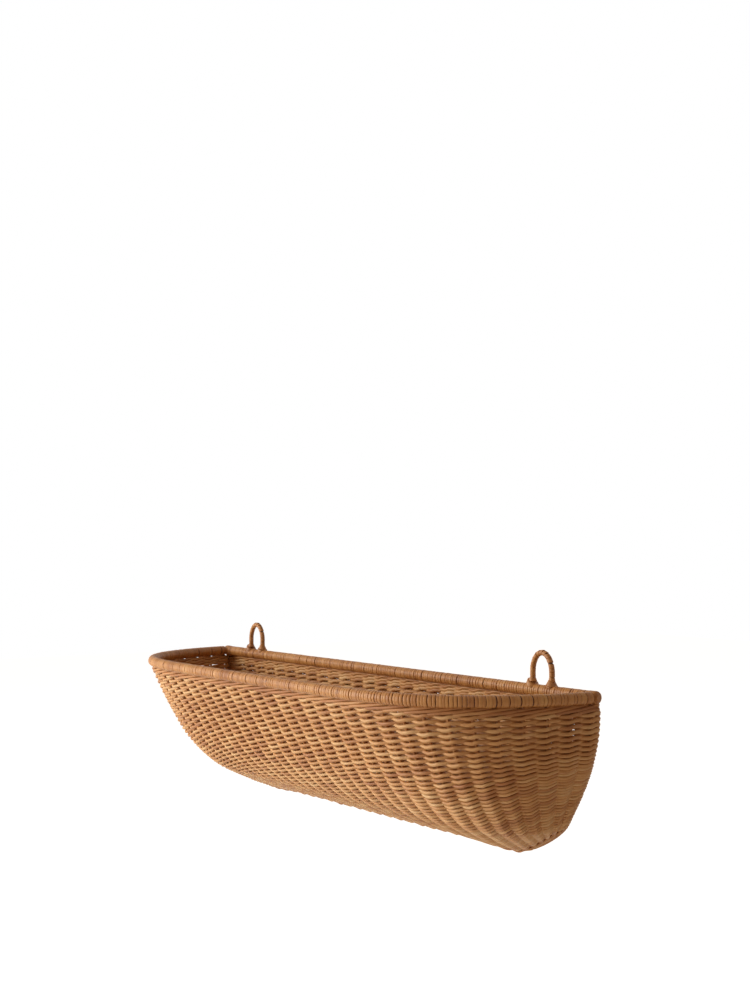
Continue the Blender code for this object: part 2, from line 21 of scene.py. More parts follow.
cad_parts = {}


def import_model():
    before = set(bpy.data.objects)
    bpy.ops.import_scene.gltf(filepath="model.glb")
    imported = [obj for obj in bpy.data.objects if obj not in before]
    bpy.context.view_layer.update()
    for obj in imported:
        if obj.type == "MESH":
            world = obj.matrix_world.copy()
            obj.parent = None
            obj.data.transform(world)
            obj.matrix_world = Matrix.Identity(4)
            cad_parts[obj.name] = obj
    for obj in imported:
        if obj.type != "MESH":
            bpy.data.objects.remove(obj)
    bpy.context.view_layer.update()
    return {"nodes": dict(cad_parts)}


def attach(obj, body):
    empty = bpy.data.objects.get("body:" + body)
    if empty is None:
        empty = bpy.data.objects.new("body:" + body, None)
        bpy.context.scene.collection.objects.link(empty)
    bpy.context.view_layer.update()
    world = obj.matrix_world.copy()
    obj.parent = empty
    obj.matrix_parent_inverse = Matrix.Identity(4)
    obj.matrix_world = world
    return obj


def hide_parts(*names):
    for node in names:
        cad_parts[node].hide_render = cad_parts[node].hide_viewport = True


log = logging.getLogger("wall_pocket")

RIM_Z = -0.0349  # height of the rim's centre line
RAIL_Y = -0.00765  # of the rail's centre line
RIM_RADIUS = 0.0062
WALL_GAP = 0.0001  # that a strand keeps from the wall at least
UP = np.array([0.0, 0.0, 1.0])


class Slot(Enum):
    """The record's material slots."""

    CORE = "rattan_core"
    PEEL = "cane_peel"


# Numbers of the sockets with which a Mix node mixes colours.
MIX_SHARE = 0
MIX_FIRST = 6
MIX_SECOND = 7
MIXED = 2


def linear(hex_colour: str) -> tuple[float, float, float, float]:
    """Turns an sRGB hex colour into linear light.

    Args:
        hex_colour: Six hex digits.

    Returns:
        Red, green, blue and an alpha of 1.
    """
    parts = []
    for start in (0, 2, 4):
        value = int(hex_colour[start : start + 2], 16) / 255
        parts.append(value / 12.92 if value <= 0.04045 else ((value + 0.055) / 1.055) ** 2.4)
    return parts[0], parts[1], parts[2], 1.0


def ease(share: np.ndarray | float) -> np.ndarray | float:
    """Smooths a share from 0 to 1, so that it starts and ends level."""
    return share * share * (3 - 2 * share)


def ramp(value: float, start: float, end: float) -> float:
    """How far a value has come from a start to an end, as a share from 0 to 1."""
    return min(max((value - start) / (end - start), 0.0), 1.0)


def near(number: np.ndarray, stake: float, spread: float) -> np.ndarray:
    """A share that is 1 at a stake of either side and fades over a spread of stakes."""
    return np.exp(-(((np.abs(number) - stake) / spread) ** 2))


def unit(vectors: np.ndarray) -> np.ndarray:
    """Vectors of length 1 that point the same way."""
    return vectors / np.linalg.norm(vectors, axis=-1, keepdims=True)


def lengths_along(line: np.ndarray) -> np.ndarray:
    """Length from the first point of a line to each of its points."""
    return np.concatenate([[0], np.cumsum(np.linalg.norm(np.diff(line, axis=0), axis=1))])


def points_at(places: np.ndarray | float, lengths: np.ndarray, line: np.ndarray) -> np.ndarray:
    """Points of a line at places between the lengths of its points."""
    return np.stack([np.interp(places, lengths, line[:, i]) for i in range(3)], -1)


def blur_round(values: np.ndarray) -> np.ndarray:
    """Means over nine neighbours, in a row that closes on itself."""
    return np.convolve(np.pad(values, 4, mode="wrap"), np.full(9, 1 / 9), mode="valid")


def add_node(
    tree: bpy.types.NodeTree, kind: str, settings: dict | None = None, links: dict | None = None
) -> bpy.types.Node:
    """Adds a node to a material with its settings and its links.

    Args:
        tree: The node tree.
        kind: The node's type name.
        settings: Attribute names or input names, with the values that they get.
        links: Input names or numbers, with the output sockets that feed them.

    Returns:
        The new node.
    """
    node = tree.nodes.new(kind)
    for name, value in (settings or {}).items():
        if isinstance(name, str) and hasattr(node, name):
            setattr(node, name, value)
        else:
            node.inputs[name].default_value = value
    for name, socket in (links or {}).items():
        tree.links.new(socket, node.inputs[name])
    return node


def set_ramp(node: bpy.types.Node, stops: tuple[tuple[float, str], ...]) -> None:
    """Gives a colour ramp its stops.

    Args:
        node: The Color Ramp node.
        stops: Pairs of place and sRGB hex colour.
    """
    elements = node.color_ramp.elements
    while len(elements) < len(stops):
        elements.new(0.5)
    for element, (place, colour) in zip(elements, stops):
        element.position = place
        element.color = linear(colour)


def add_noise(
    tree: bpy.types.NodeTree, place: bpy.types.NodeSocket, scale: float, detail: float, roughness: float
) -> bpy.types.Node:
    """Adds a noise texture to a material.

    Args:
        tree: The node tree.
        place: The socket that tells where the noise is read.
        scale: Bumps in a unit of length.
        detail: How many finer noises are added.
        roughness: The share that each finer noise keeps.

    Returns:
        The new node.
    """
    settings = {"Scale": scale, "Detail": detail, "Roughness": roughness}
    return add_node(tree, "ShaderNodeTexNoise", settings, {"Vector": place})


def add_piece(
    name: str, mesh: bpy.types.Mesh, tones: np.ndarray, uvs: np.ndarray,
    material: bpy.types.Material,
) -> bpy.types.Object:
    """Finishes a mesh and puts it in the scene as a piece of the pocket.

    Args:
        name: The piece's name.
        mesh: Its mesh.
        tones: The tone at each point.
        uvs: The place of each corner on the pattern of fibres.
        material: The finish.

    Returns:
        The new piece.
    """
    layer = mesh.uv_layers.new(name="along")
    layer.data.foreach_set("uv", uvs.astype(np.float32).ravel())
    tone = mesh.attributes.new("tone", "FLOAT", "POINT")
    tone.data.foreach_set("value", tones.astype(np.float32))
    mesh.update(calc_edges=True)
    mesh.validate()
    mesh.shade_smooth()
    mesh.materials.append(material)
    piece = bpy.data.objects.new(name, mesh)
    bpy.context.scene.collection.objects.link(piece)
    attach(piece, "root")
    log.info("%s: %d faces", name, len(mesh.polygons))
    return piece


@dataclass(frozen=True)
class RattanFinish:
    """The look of one sort of rattan, as an attribute "tone" and the fibres make it.

    A piece's UV map runs along its strands in metres and round them from 0 to 1. Its
    attribute "tone" is one number for each strand or turn.
    """

    name: str
    dark: str
    middle: str
    light: str
    stain: str
    roughness: float
    ior: float
    coat: float
    fibre_width: float  # metres across one bundle of fibres
    fibre_length: float
    fibre_depth: float  # height of the bump
    round_length: float  # metres round the strand that the UV map's 0 to 1 stands for
    stain_share: float = 0.5
    tone_share: float = 0.28
    patch_share: float = 0.55
    fibre_share: float = 0.30
    gloss_share: float = 0.1  # by which the fibres change the roughness

    def make(self) -> bpy.types.Material:
        """Builds the material.

        Returns:
            The material.
        """
        material = bpy.data.materials.new(self.name)
        material.use_nodes = True
        tree = material.node_tree
        shader = tree.nodes["Principled BSDF"]
        shader.inputs["IOR"].default_value = self.ior
        shader.inputs["Coat Weight"].default_value = self.coat
        shader.inputs["Coat Roughness"].default_value = 0.3
        place = add_node(tree, "ShaderNodeTexCoord")
        tone = add_node(tree, "ShaderNodeAttribute", {"attribute_name": "tone"})
        # Patches about 40 mm wide, where a lighter length of cane runs into a darker one.
        patches = add_noise(tree, place.outputs["Object"], 24.0, 3.0, 0.55)
        stretch = add_node(
            tree, "ShaderNodeMapping",
            {"Scale": (1 / self.fibre_length, self.round_length / self.fibre_width, 1.0)},
            {"Vector": place.outputs["UV"]},
        )
        fibres = add_noise(tree, stretch.outputs["Vector"], 1.0, 2.0, 0.6)
        # Tone, patches and fibres add up to one place on the ramp of colours.
        total = None
        shares = (self.tone_share, self.patch_share, self.fibre_share)
        for share, source in zip(shares, (tone, patches, fibres)):
            part = add_node(
                tree, "ShaderNodeMath", {"operation": "MULTIPLY_ADD", 1: share, 2: 0.0},
                {0: source.outputs["Fac"]},
            )
            if total is not None:
                tree.links.new(total, part.inputs[2])
            total = part.outputs[0]
        cane = add_node(tree, "ShaderNodeValToRGB", None, {"Fac": total})
        set_ramp(cane, ((0.33, self.dark), (0.56, self.middle), (0.82, self.light)))
        # Small darker stains where dirt and water have marked the cane.
        spots = add_noise(tree, place.outputs["Object"], 140.0, 2.0, 0.7)
        spot_share = add_node(
            tree, "ShaderNodeMapRange",
            {"From Min": 0.62, "From Max": 0.78, "To Max": self.stain_share},
            {"Value": spots.outputs["Fac"]},
        )
        colour = add_node(
            tree, "ShaderNodeMix", {"data_type": "RGBA", MIX_SECOND: linear(self.stain)},
            {MIX_SHARE: spot_share.outputs[0], MIX_FIRST: cane.outputs["Color"]},
        )
        gloss = add_node(
            tree, "ShaderNodeMapRange",
            {"To Min": self.roughness + self.gloss_share, "To Max": self.roughness - self.gloss_share},
            {"Value": fibres.outputs["Fac"]},
        )
        bump = add_node(
            tree, "ShaderNodeBump", {"Strength": 0.6, "Distance": self.fibre_depth},
            {"Height": fibres.outputs["Fac"]},
        )
        tree.links.new(colour.outputs[MIXED], shader.inputs["Base Color"])
        tree.links.new(gloss.outputs[0], shader.inputs["Roughness"])
        tree.links.new(bump.outputs["Normal"], shader.inputs["Normal"])
        return material


# Round core is the pith of the rattan palm, drawn through a die and left uncoated. It
# is matt and pale tan, with fine pores in lines along it and darker lengths.
ROUND_CORE = RattanFinish(
    name="Rattan core, drawn round and uncoated",
    dark="A1622A", middle="CC9455", light="DEB47A", stain="7A3F17",
    roughness=0.58, ior=1.53, coat=0.0,
    fibre_width=0.0006, fibre_length=0.012, fibre_depth=0.00012, round_length=0.0085,
)
# The same core for the stakes, painted darker as shade, since inside the wall little light comes.
SHADE_DARKENED_STAKE_CORE = RattanFinish(
    name="Rattan core of the stakes, drawn round",
    dark="965B28", middle="BC8046", light="CF9D63", stain="6E3814",
    roughness=0.62, ior=1.53, coat=0.0,
    fibre_width=0.0006, fibre_length=0.012, fibre_depth=0.00012, round_length=0.0105,
)
# Cane peel is the palm's split outer bark. Its natural glaze gives a soft sheen, and it
# is a little yellower and darker than the core.
WOUND_PEEL = RattanFinish(
    name="Cane peel, split and wound, natural glaze",
    dark="A06225", middle="C48744", light="D6A560", stain="6E3A15",
    roughness=0.52, ior=1.5, coat=0.04,
    fibre_width=0.0008, fibre_length=0.02, fibre_depth=0.0001, round_length=0.039,
    stain_share=0.7, tone_share=0.17,
)
# The rods under the binding show only in its joints, and are painted near-black brown as the shade that
# fills the joints.
SHADE_DARKENED_BOUND_ROD = RattanFinish(
    name="Rattan rod under the binding, dark with dust",
    dark="3B200D", middle="4E2C13", light="66401F", stain="2A1608",
    roughness=0.8, ior=1.5, coat=0.0,
    fibre_width=0.001, fibre_length=0.02, fibre_depth=0.0001, round_length=0.03,
)


class TubeMaker:
    """Gathers round tubes and puts them in the scene as one piece."""

    def __init__(self) -> None:
        """Starts with no tubes."""
        self.points: list[np.ndarray] = []
        self.quads: list[np.ndarray] = []
        self.uvs: list[np.ndarray] = []
        self.tones: list[np.ndarray] = []
        self.count = 0

    def add(
        self, line: np.ndarray, radii: np.ndarray, sides: int, outward: np.ndarray, tone: float,
        closed: bool = False,
    ) -> None:
        """Adds one tube.

        Args:
            line: Points of its centre line.
            radii: Radius at each point.
            sides: Corners of its section.
            outward: A direction at each point that the line doesn't follow.
            tone: The strand's tone.
            closed: Whether the last point joins the first.
        """
        if closed:
            along = unit(np.roll(line, -1, 0) - np.roll(line, 1, 0))
        else:
            along = unit(np.gradient(line, axis=0))
        side = unit(outward - (outward * along).sum(1, keepdims=True) * along)
        across = np.cross(along, side)
        angles = np.arange(sides) * 2 * math.pi / sides
        ring = (
            side[:, None, :] * np.cos(angles)[None, :, None]
            + across[:, None, :] * np.sin(angles)[None, :, None]
        )
        points = (line[:, None, :] + ring * radii[:, None, None]).reshape(-1, 3)
        steps = len(line)
        first = np.arange(steps if closed else steps - 1)
        after = (first + 1) % steps
        k = np.arange(sides)
        m = (k + 1) % sides
        quads = np.stack(
            [
                first[:, None] * sides + k, first[:, None] * sides + m,
                after[:, None] * sides + m, after[:, None] * sides + k,
            ],
            -1,
        ).reshape(-1, 4)
        gaps = np.linalg.norm(np.roll(line, -1, 0) - line, axis=1)
        reach = np.concatenate([[0.0], np.cumsum(gaps)])
        here, ahead = reach[first][:, None], reach[first + 1][:, None]
        low, high = k / sides, (k + 1) / sides
        corners = ((here, low), (here, high), (ahead, high), (ahead, low))
        uvs = np.stack([np.stack(np.broadcast_arrays(u, v), -1) for u, v in corners], 2)
        uvs = uvs.reshape(-1, 2)
        # Each strand takes its own part of the pattern.
        uvs[:, 0] += tone * 37.0
        if not closed:
            # A fan of triangles closes each end.
            for ring_start in (0, (steps - 1) * sides):
                tips = np.full(sides, len(points))
                pair = (m, k) if ring_start == 0 else (k, m)
                fan = np.stack([ring_start + pair[0], ring_start + pair[1], tips, tips], -1)
                quads = np.vstack([quads, fan])
                uvs = np.vstack([uvs, np.zeros((sides * 4, 2))])
                points = np.vstack([points, line[ring_start // sides]])
        self.points.append(points)
        self.quads.append(quads + self.count)
        self.uvs.append(uvs)
        self.tones.append(np.full(len(points), tone))
        self.count += len(points)

    def finish(self, name: str, material: bpy.types.Material) -> bpy.types.Object:
        """Puts the tubes in the scene.

        Args:
            name: The piece's name.
            material: The finish.

        Returns:
            The new piece.
        """
        quads = np.vstack(self.quads)
        points = np.vstack(self.points)
        # A quad whose last corner is there twice is a triangle.
        pointed = quads[:, 2] == quads[:, 3]
        kept = np.ones(quads.shape, bool)
        kept[pointed, 3] = False
        corners = quads[kept]
        counts = np.where(pointed, 3, 4)
        starts = np.concatenate([[0], np.cumsum(counts)[:-1]]).astype(np.int32)
        mesh = bpy.data.meshes.new(name)
        mesh.vertices.add(len(points))
        mesh.vertices.foreach_set("co", np.ascontiguousarray(points, np.float32).ravel())
        mesh.loops.add(len(corners))
        mesh.loops.foreach_set("vertex_index", corners.astype(np.int32))
        mesh.polygons.add(len(quads))
        mesh.polygons.foreach_set("loop_start", starts)
        uvs = np.vstack(self.uvs)[kept.ravel()]
        return add_piece(name, mesh, np.concatenate(self.tones), uvs, material)


def hermite(stations: tuple[tuple[float, float], ...], shares: np.ndarray) -> np.ndarray:
    """Reads a smooth curve through stations.

    Args:
        stations: Pairs of share and value.
        shares: Where to read it.

    Returns:
        The values there.
    """
    x = np.array([s[0] for s in stations])
    y = np.array([s[1] for s in stations])
    low = np.concatenate([[0], np.arange(len(x) - 1)])
    high = np.concatenate([np.arange(1, len(x)), [len(x) - 1]])
    slope = (y[high] - y[low]) / (x[high] - x[low])
    i = np.clip(np.searchsorted(x, shares, side="left") - 1, 0, len(x) - 2)
    step = x[i + 1] - x[i]
    t = (shares - x[i]) / step
    return (
        (1 + 2 * t) * (1 - t) ** 2 * y[i]
        + t * (1 - t) ** 2 * step * slope[i]
        + t * t * (3 - 2 * t) * y[i + 1]
        + t * t * (t - 1) * step * slope[i + 1]
    )


@dataclass
class PocketForm:
    """The form of the woven wall, by level from 0 at the rim to 1 at the bottom."""

    height: float = 0.1635
    mouth_half_width: float = 0.3557
    mouth_reach: float = 0.18735
    squareness_x: float = 6.3
    squareness_top: float = 1.62
    squareness_bottom: float = 2.82
    stake_inset: float = 0.0047  # from the outer face to the stakes' middle
    back_edge: float = 0.012  # from the wall to the last stake of the bow side
    bent_stakes: int = 13  # on each side of the middle one
    end_stakes: int = 5
    rail_pitch: float = 0.025
    bottom_pitch: float = 0.020
    end_rise: float = 0.03
    corner_dip: float = 0.02  # how much lower the wall reaches at its two front corners
    dip_stake: float = 11.5
    dip_spread: float = 2.6
    width_profile: tuple[tuple[float, float], ...] = (
        (0.00, 1.000), (0.25, 0.990), (0.45, 0.963), (0.60, 0.929), (0.72, 0.895),
        (0.82, 0.862), (0.88, 0.815), (0.93, 0.772), (0.97, 0.734), (1.00, 0.697),
    )
    reach_profile: tuple[tuple[float, float], ...] = (
        (0.00, 1.000), (0.20, 0.895), (0.40, 0.790), (0.60, 0.677), (0.80, 0.481),
        (0.93, 0.253), (1.00, 0.080),
    )
    lengths: np.ndarray = field(init=False)
    angles: np.ndarray = field(init=False)
    pitch: float = field(init=False)

    def __post_init__(self) -> None:
        """Measures the mouth's outline once."""
        share = np.linspace(0, 1, 3001)
        self.angles = math.pi / 2 * (1 - share**3)
        x, y = self.section(self.angles, np.zeros(len(share)))
        self.lengths = np.concatenate([[0], np.cumsum(np.hypot(np.diff(x), np.diff(y)))])
        last = np.where(-y < self.back_edge)[0][0]
        self.pitch = float(self.lengths[last]) / self.last_stake

    @property
    def last_stake(self) -> int:
        """Number of the last stake on each side of the middle one."""
        return self.bent_stakes + self.end_stakes

    def half_width(self, level: np.ndarray) -> np.ndarray:
        """Half width at each level."""
        return self.mouth_half_width * hermite(self.width_profile, level)

    def reach(self, level: np.ndarray) -> np.ndarray:
        """Distance of the front from the wall at each level."""
        return self.mouth_reach * hermite(self.reach_profile, level)

    def squareness_y(self, level: np.ndarray) -> np.ndarray:
        """The section's second exponent at each level."""
        return self.squareness_top + (self.squareness_bottom - self.squareness_top) * level

    def section(self, angle: np.ndarray, level: np.ndarray) -> tuple[np.ndarray, np.ndarray]:
        """Points of the outline, from angle 0 at the right corner to pi at the left."""
        cos, sin = np.cos(angle), np.sin(angle)
        x = np.sign(cos) * np.abs(cos) ** (2 / self.squareness_x) * self.half_width(level)
        y = -(np.abs(sin) ** (2 / self.squareness_y(level))) * self.reach(level)
        return x, y

    def excess(self, x: np.ndarray, y: np.ndarray, level: np.ndarray) -> np.ndarray:
        """Below 0 inside the outline at a level, and above 0 outside."""
        across = np.abs(x) / self.half_width(level)
        out = np.abs(y) / self.reach(level)
        return across**self.squareness_x + out ** self.squareness_y(level) - 1

    def mouth_point(self, number: np.ndarray) -> tuple[np.ndarray, np.ndarray]:
        """Where the stake of that number, whole or not, meets the mouth's outline."""
        length = np.abs(number) * self.pitch
        angle = np.interp(length, self.lengths, self.angles)
        x, y = self.section(angle, np.zeros(np.shape(number)))
        return np.sign(number) * np.abs(x), y

    def end_point(self, number: int) -> tuple[float, float, float]:
        """Level, X and Y where a whole stake reaches the back edge."""
        count = abs(number)
        beyond = count - self.bent_stakes + 1
        one = np.array([1.0])
        if beyond <= 0:
            x = self.bottom_pitch * count
            inside = 1 - (x / self.half_width(one)[0]) ** self.squareness_x
            y = self.reach(one)[0] * inside ** (1 / self.squareness_y(one)[0])
            return 1.0, math.copysign(x, number), -max(y, self.back_edge)
        level = 1 - self.end_rise * beyond
        there = np.array([level])
        out = (self.back_edge / self.reach(there)[0]) ** self.squareness_y(there)[0]
        x = self.half_width(there)[0] * (1 - out) ** (1 / self.squareness_x)
        return level, math.copysign(x, number), -self.back_edge

    def ends(self, number: np.ndarray) -> tuple[np.ndarray, np.ndarray, np.ndarray]:
        """Level, X and Y of the ends of stakes, with numbers between whole ones."""
        whole = np.arange(-self.last_stake, self.last_stake + 1)
        table = np.array([self.end_point(int(n)) for n in whole])
        return tuple(np.interp(number, whole, table[:, i]) for i in range(3))

    def front(self, number: np.ndarray, level: np.ndarray) -> np.ndarray:
        """Points of the outer face under the bow, in the frame whose Z is 0 at the rim."""
        top_x, top_y = self.mouth_point(number)
        _, end_x, end_y = self.ends(number)
        # Where a stake meets the outline is found by halving, from a little outside.
        low = np.full(np.shape(level), -0.2)
        high = np.full(np.shape(level), 1.2)
        for _ in range(40):
            middle = (low + high) / 2
            x = top_x + (end_x - top_x) * middle
            y = top_y + (end_y - top_y) * middle
            outside = self.excess(x, y, level) > 0
            low = np.where(outside, middle, low)
            high = np.where(outside, high, middle)
        dip = self.corner_dip * near(number, self.dip_stake, self.dip_spread) * level**3
        depth = level * self.height * (1 + dip)
        return np.stack([x, y, -depth], -1)

    def normal(self, points: np.ndarray) -> np.ndarray:
        """Outward normals at points of the outer face."""
        small = 1e-5
        x, y = points[..., 0], points[..., 1]
        level = np.clip(-points[..., 2] / self.height, 0, 1 - 2 * small)
        here = self.excess(x, y, level)
        step = small / self.height
        slopes = np.stack(
            [
                self.excess(x + small, y, level) - here,
                self.excess(x, y + small, level) - here,
                here - self.excess(x, y, level + step),
            ],
            -1,
        )
        return unit(slopes)


@dataclass(frozen=True)
class Row:
    """One row of the weave."""

    line: np.ndarray  # of a row all round, through the stakes' middles
    out: np.ndarray  # the outward direction at each point
    room_out: np.ndarray  # how far a strand's middle may lie outside the line
    present: np.ndarray  # where the row is, along the line
    level: float  # at the front's middle


@dataclass
class Weave:
    """The twined wall: rows of two strands twisted together round the stakes."""

    form: PocketForm
    strand_radius: float = 0.00172
    end_thickness: float = 1.11  # strands on the ends, as a share of the front's
    back_thickness: float = 1.28  # strands across the back, as a share of the front's
    uneven_thickness: float = 0.03
    uneven_height: float = 0.0002  # metres up or down at a stake
    swing: float = 0.00295  # of a strand's middle from the stakes' middle
    twist: float = 0.00098  # of the two strands from the row's middle where they cross
    # The smaller the tightness, the sooner the strands close up beside a stake.
    front_tightness: float = 1.2
    end_tightness: float = 0.3
    back_tightness: float = 0.14
    last_loose_stake: float = 7.0
    first_tight_stake: float = 11.0
    sag: float = 0.035  # of a row at the two front corners, in levels
    sag_stake: float = 11.0
    sag_spread: float = 3.5
    rise_stake: float = 10.5  # where a row starts to climb to a back edge
    back_gap: float = 0.0022  # that a row of the bow's side keeps from the back
    corner_inset: float = 0.0017  # of the strands' middle where they round a back edge
    corner_start: float = 0.0075  # from the wall to where a row starts to turn
    corner_cut: float = 1.7  # how far in a row passes the edge, in insets
    corner_depth: float = 1.1  # how far from the wall it has turned, in insets
    corner_way: float = 0.45  # share of the way to the back where it has turned
    first_row: float = 0.0152  # below the rim's centre
    last_row_gap: float = 0.0004  # between the last row and the bottom
    rim_rows: tuple[float, ...] = (0.0081, 0.0117)
    rim_row_inset: float = 0.0013
    rim_row_swing: float = 0.0018
    top_pitch: float = 0.00545
    bottom_pitch: float = 0.0032
    open_distance: float = 0.0066  # where two rows lie further apart, a short one goes between
    # Levels between which something changes on the way down, and how much it changes.
    crowding: tuple[float, float] = (0.4, 0.8)  # the rows draw together
    climbing: tuple[float, float] = (0.2, 0.75)  # the rows climb to the back edges
    widening: tuple[float, float] = (0.45, 0.65)  # a twist fills more room
    most_widening: float = 0.25
    closing: tuple[float, float] = (0.78, 0.88)  # the strands close up sooner
    most_closing: float = 0.6
    flattening: tuple[float, float] = (0.75, 1.0)  # the crowded rows are pressed flatter
    most_flattening: float = 0.55
    least_room: float = 0.62  # of a row, as a share of the top pitch
    room_share: float = 0.25  # of a strand's thickness that follows the room
    # The row that closes the bottom, half as deep as the others.
    closing_drop: float = 0.0015
    closing_out: tuple[float, float, float] = (0.0, -0.3, -0.954)
    closing_swing: float = 0.5
    closing_thickness: float = 0.95
    steps: int = 10  # along one interval between two stakes
    sides: int = 6
    pieces: int = 5

    def plan(self) -> list[tuple[float, float]]:
        """Plans the rows, with short ones where the wall turns in under the pocket.

        Returns:
            For each row its level at the front's middle, and the number of the last stake
            that it passes on each side, which is 0 for a row all round.
        """
        form = self.form
        depth = self.first_row
        depths = []
        while depth < form.height:
            depths.append(depth)
            crowd = ramp(depth / form.height, *self.crowding)
            depth += self.top_pitch + (self.bottom_pitch - self.top_pitch) * crowd
        stretch = (form.height - self.last_row_gap - self.first_row) / (depths[-1] - self.first_row)
        levels = (self.first_row + (np.array(depths) - self.first_row) * stretch) / form.height
        number = np.arange(0.5, form.last_stake - 2)
        places = [form.front(number, self.row_levels(level, levels[0], number)) for level in levels]
        rows = [(float(levels[0]), 0.0)]
        for row in range(1, len(levels)):
            wide = np.linalg.norm(places[row] - places[row - 1], axis=1) > self.open_distance
            if wide[0]:
                reach = float(number[wide][-1])
                rows.append(((float(levels[row]) + float(levels[row - 1])) / 2, reach))
            rows.append((float(levels[row]), 0.0))
        return rows

    def row_levels(self, level: float, top: float, number: np.ndarray) -> np.ndarray:
        """The level of a row at each stake: it climbs towards the back edges.

        Args:
            level: The row's level at the front's middle.
            top: The first row's level.
            number: The stakes' numbers, whole or not.

        Returns:
            Levels.
        """
        form = self.form
        share = (level - top) / (1 - top)
        climb = ease(ramp(share, *self.climbing))
        beyond = (np.abs(number) - self.rise_stake) / (form.last_stake - self.rise_stake)
        early = form.end_rise * form.end_stakes * np.clip(beyond, 0, 1)
        stop, _, _ = form.ends(number)
        late = share**3
        return level - climb * ((1 - late) * early + late * (1 - stop))

    def row_line(self, level: float, top: float) -> tuple[np.ndarray, np.ndarray, np.ndarray]:
        """The middle line of one row, the outward direction and the room outside it.

        It starts at the left end of the bow's side and closes round the back.

        Args:
            level: The row's level at the front's middle.
            top: The first row's level.

        Returns:
            Points in the frame whose Z is 0 at the rim, unit vectors and lengths.
        """
        form = self.form
        last = form.last_stake * self.steps
        number = np.arange(-last, last + 1) / self.steps
        share = (level - top) / (1 - top)
        levels = self.row_levels(level, top, number)
        sag = self.sag * 4 * share * (1 - share) * near(number, self.sag_stake, self.sag_spread)
        outer = form.front(number, levels + sag)
        out = form.normal(outer)
        line = outer - form.stake_inset * out
        line[:, 1] = np.minimum(line[:, 1], -form.stake_inset - self.back_gap)
        # Across the back, from the right edge to the left one, a row keeps the height that
        # it has on the bow's side at the same distance from the middle. Six rounds find it.
        last_back = form.bent_stakes * self.steps
        back_number = np.arange(last_back, -last_back - 1, -1) / self.steps
        back_stop, foot_x, _ = form.ends(back_number)
        reaches = np.maximum.accumulate(outer[last:, 0])
        back_level = np.full(len(back_number), level)
        for _ in range(6):
            foot_share = back_level / back_stop
            x = back_number * form.rail_pitch * (1 - foot_share) + foot_x * foot_share
            back_level = np.interp(np.abs(x), reaches, levels[last:])
        back = np.stack([x, np.full(len(x), -form.stake_inset), -back_level * form.height], -1)
        back_out = np.tile([0.0, 1.0, 0.0], (len(x), 1))
        right = self.corner(line[-1], out[-1], outer[-1], back[0])
        left = self.corner(line[0], out[0], outer[0], back[-1])
        points = np.vstack([line, right[0], back, left[0][::-1]])
        outs = np.vstack([out, right[1], back_out, left[1][::-1]])
        insets = [np.full(len(line), form.stake_inset), right[2]]
        insets += [np.full(len(back), form.stake_inset), left[2][::-1]]
        return points, outs, np.concatenate(insets) - self.strand_radius

    def corner(
        self, start: np.ndarray, out: np.ndarray, edge: np.ndarray, end: np.ndarray
    ) -> tuple[np.ndarray, np.ndarray, np.ndarray]:
        """The steps of a row round a back edge, without its two ends.

        Args:
            start: The last point of the bow's side.
            out: The outward direction there.
            edge: The point of the outer face there.
            end: The first point of the back.

        Returns:
            Points, unit vectors and the inset at each point.
        """
        side = math.copysign(1.0, edge[0])
        inset = self.corner_inset
        cut = inset * self.corner_cut
        way = (abs(edge[0]) - abs(end[0])) * self.corner_way
        places = np.array(
            [
                start,
                [edge[0] - side * inset, -self.corner_start, start[2]],
                [edge[0] - side * cut, -cut, start[2]],
                [edge[0] - side * way, -inset * self.corner_depth, (start[2] + end[2]) / 2],
                end,
            ]
        )
        knots = np.linspace(0, 1, len(places))
        fine = np.linspace(0, 1, 81)
        smooth = points_at(fine, knots, places)
        # Sixty passes round the corners between the five places.
        for _ in range(60):
            smooth[1:-1] = (smooth[:-2] + 2 * smooth[1:-1] + smooth[2:]) / 4
        t = np.arange(1, self.steps) / self.steps
        # The outward direction turns to the back in the first part of the corner.
        turn = np.clip((t - 0.15) / 0.45, 0, 1)[:, None]
        outs = unit(out * (1 - turn) + np.array([0.0, 1.0, 0.0]) * turn)
        insets = np.interp(t, knots, [self.form.stake_inset, inset, inset, inset, self.form.stake_inset])
        return points_at(t, fine, smooth), outs, insets

    def build(self, core: bpy.types.Material) -> list[bpy.types.Object]:
        """Builds the rows in a few pieces.

        Args:
            core: The round core's finish.

        Returns:
            The pieces.
        """
        random = np.random.default_rng(7)
        plan = self.plan()
        log.info("%d rows", len(plan))
        rows = []
        for level, reach in plan:
            line, out, room = self.row_line(level, plan[0][0])
            rows.append(Row(line, out, room, self.present(reach, len(line)), level))
        made = []
        groups = np.array_split(np.arange(len(rows)), self.pieces)
        for number, group in enumerate(groups, 1):
            tubes = TubeMaker()
            for row in group:
                self.add_row(tubes, rows, int(row), random)
            if number == 1:
                self.add_rim_rows(tubes, random)
            if number == len(groups):
                self.add_closing_row(tubes, rows[-1], random)
            made.append(tubes.finish(f"weave_{number}", core))
        return made

    def present(self, reach: float, count: int) -> np.ndarray:
        """Where a row is, along the line of a row all round.

        Args:
            reach: The last stake that it passes on each side, or 0 for all round.
            count: The number of points.

        Returns:
            True or False for each point.
        """
        number = np.arange(count) / self.steps - self.form.last_stake
        return np.abs(number) <= reach if reach else np.full(count, True)

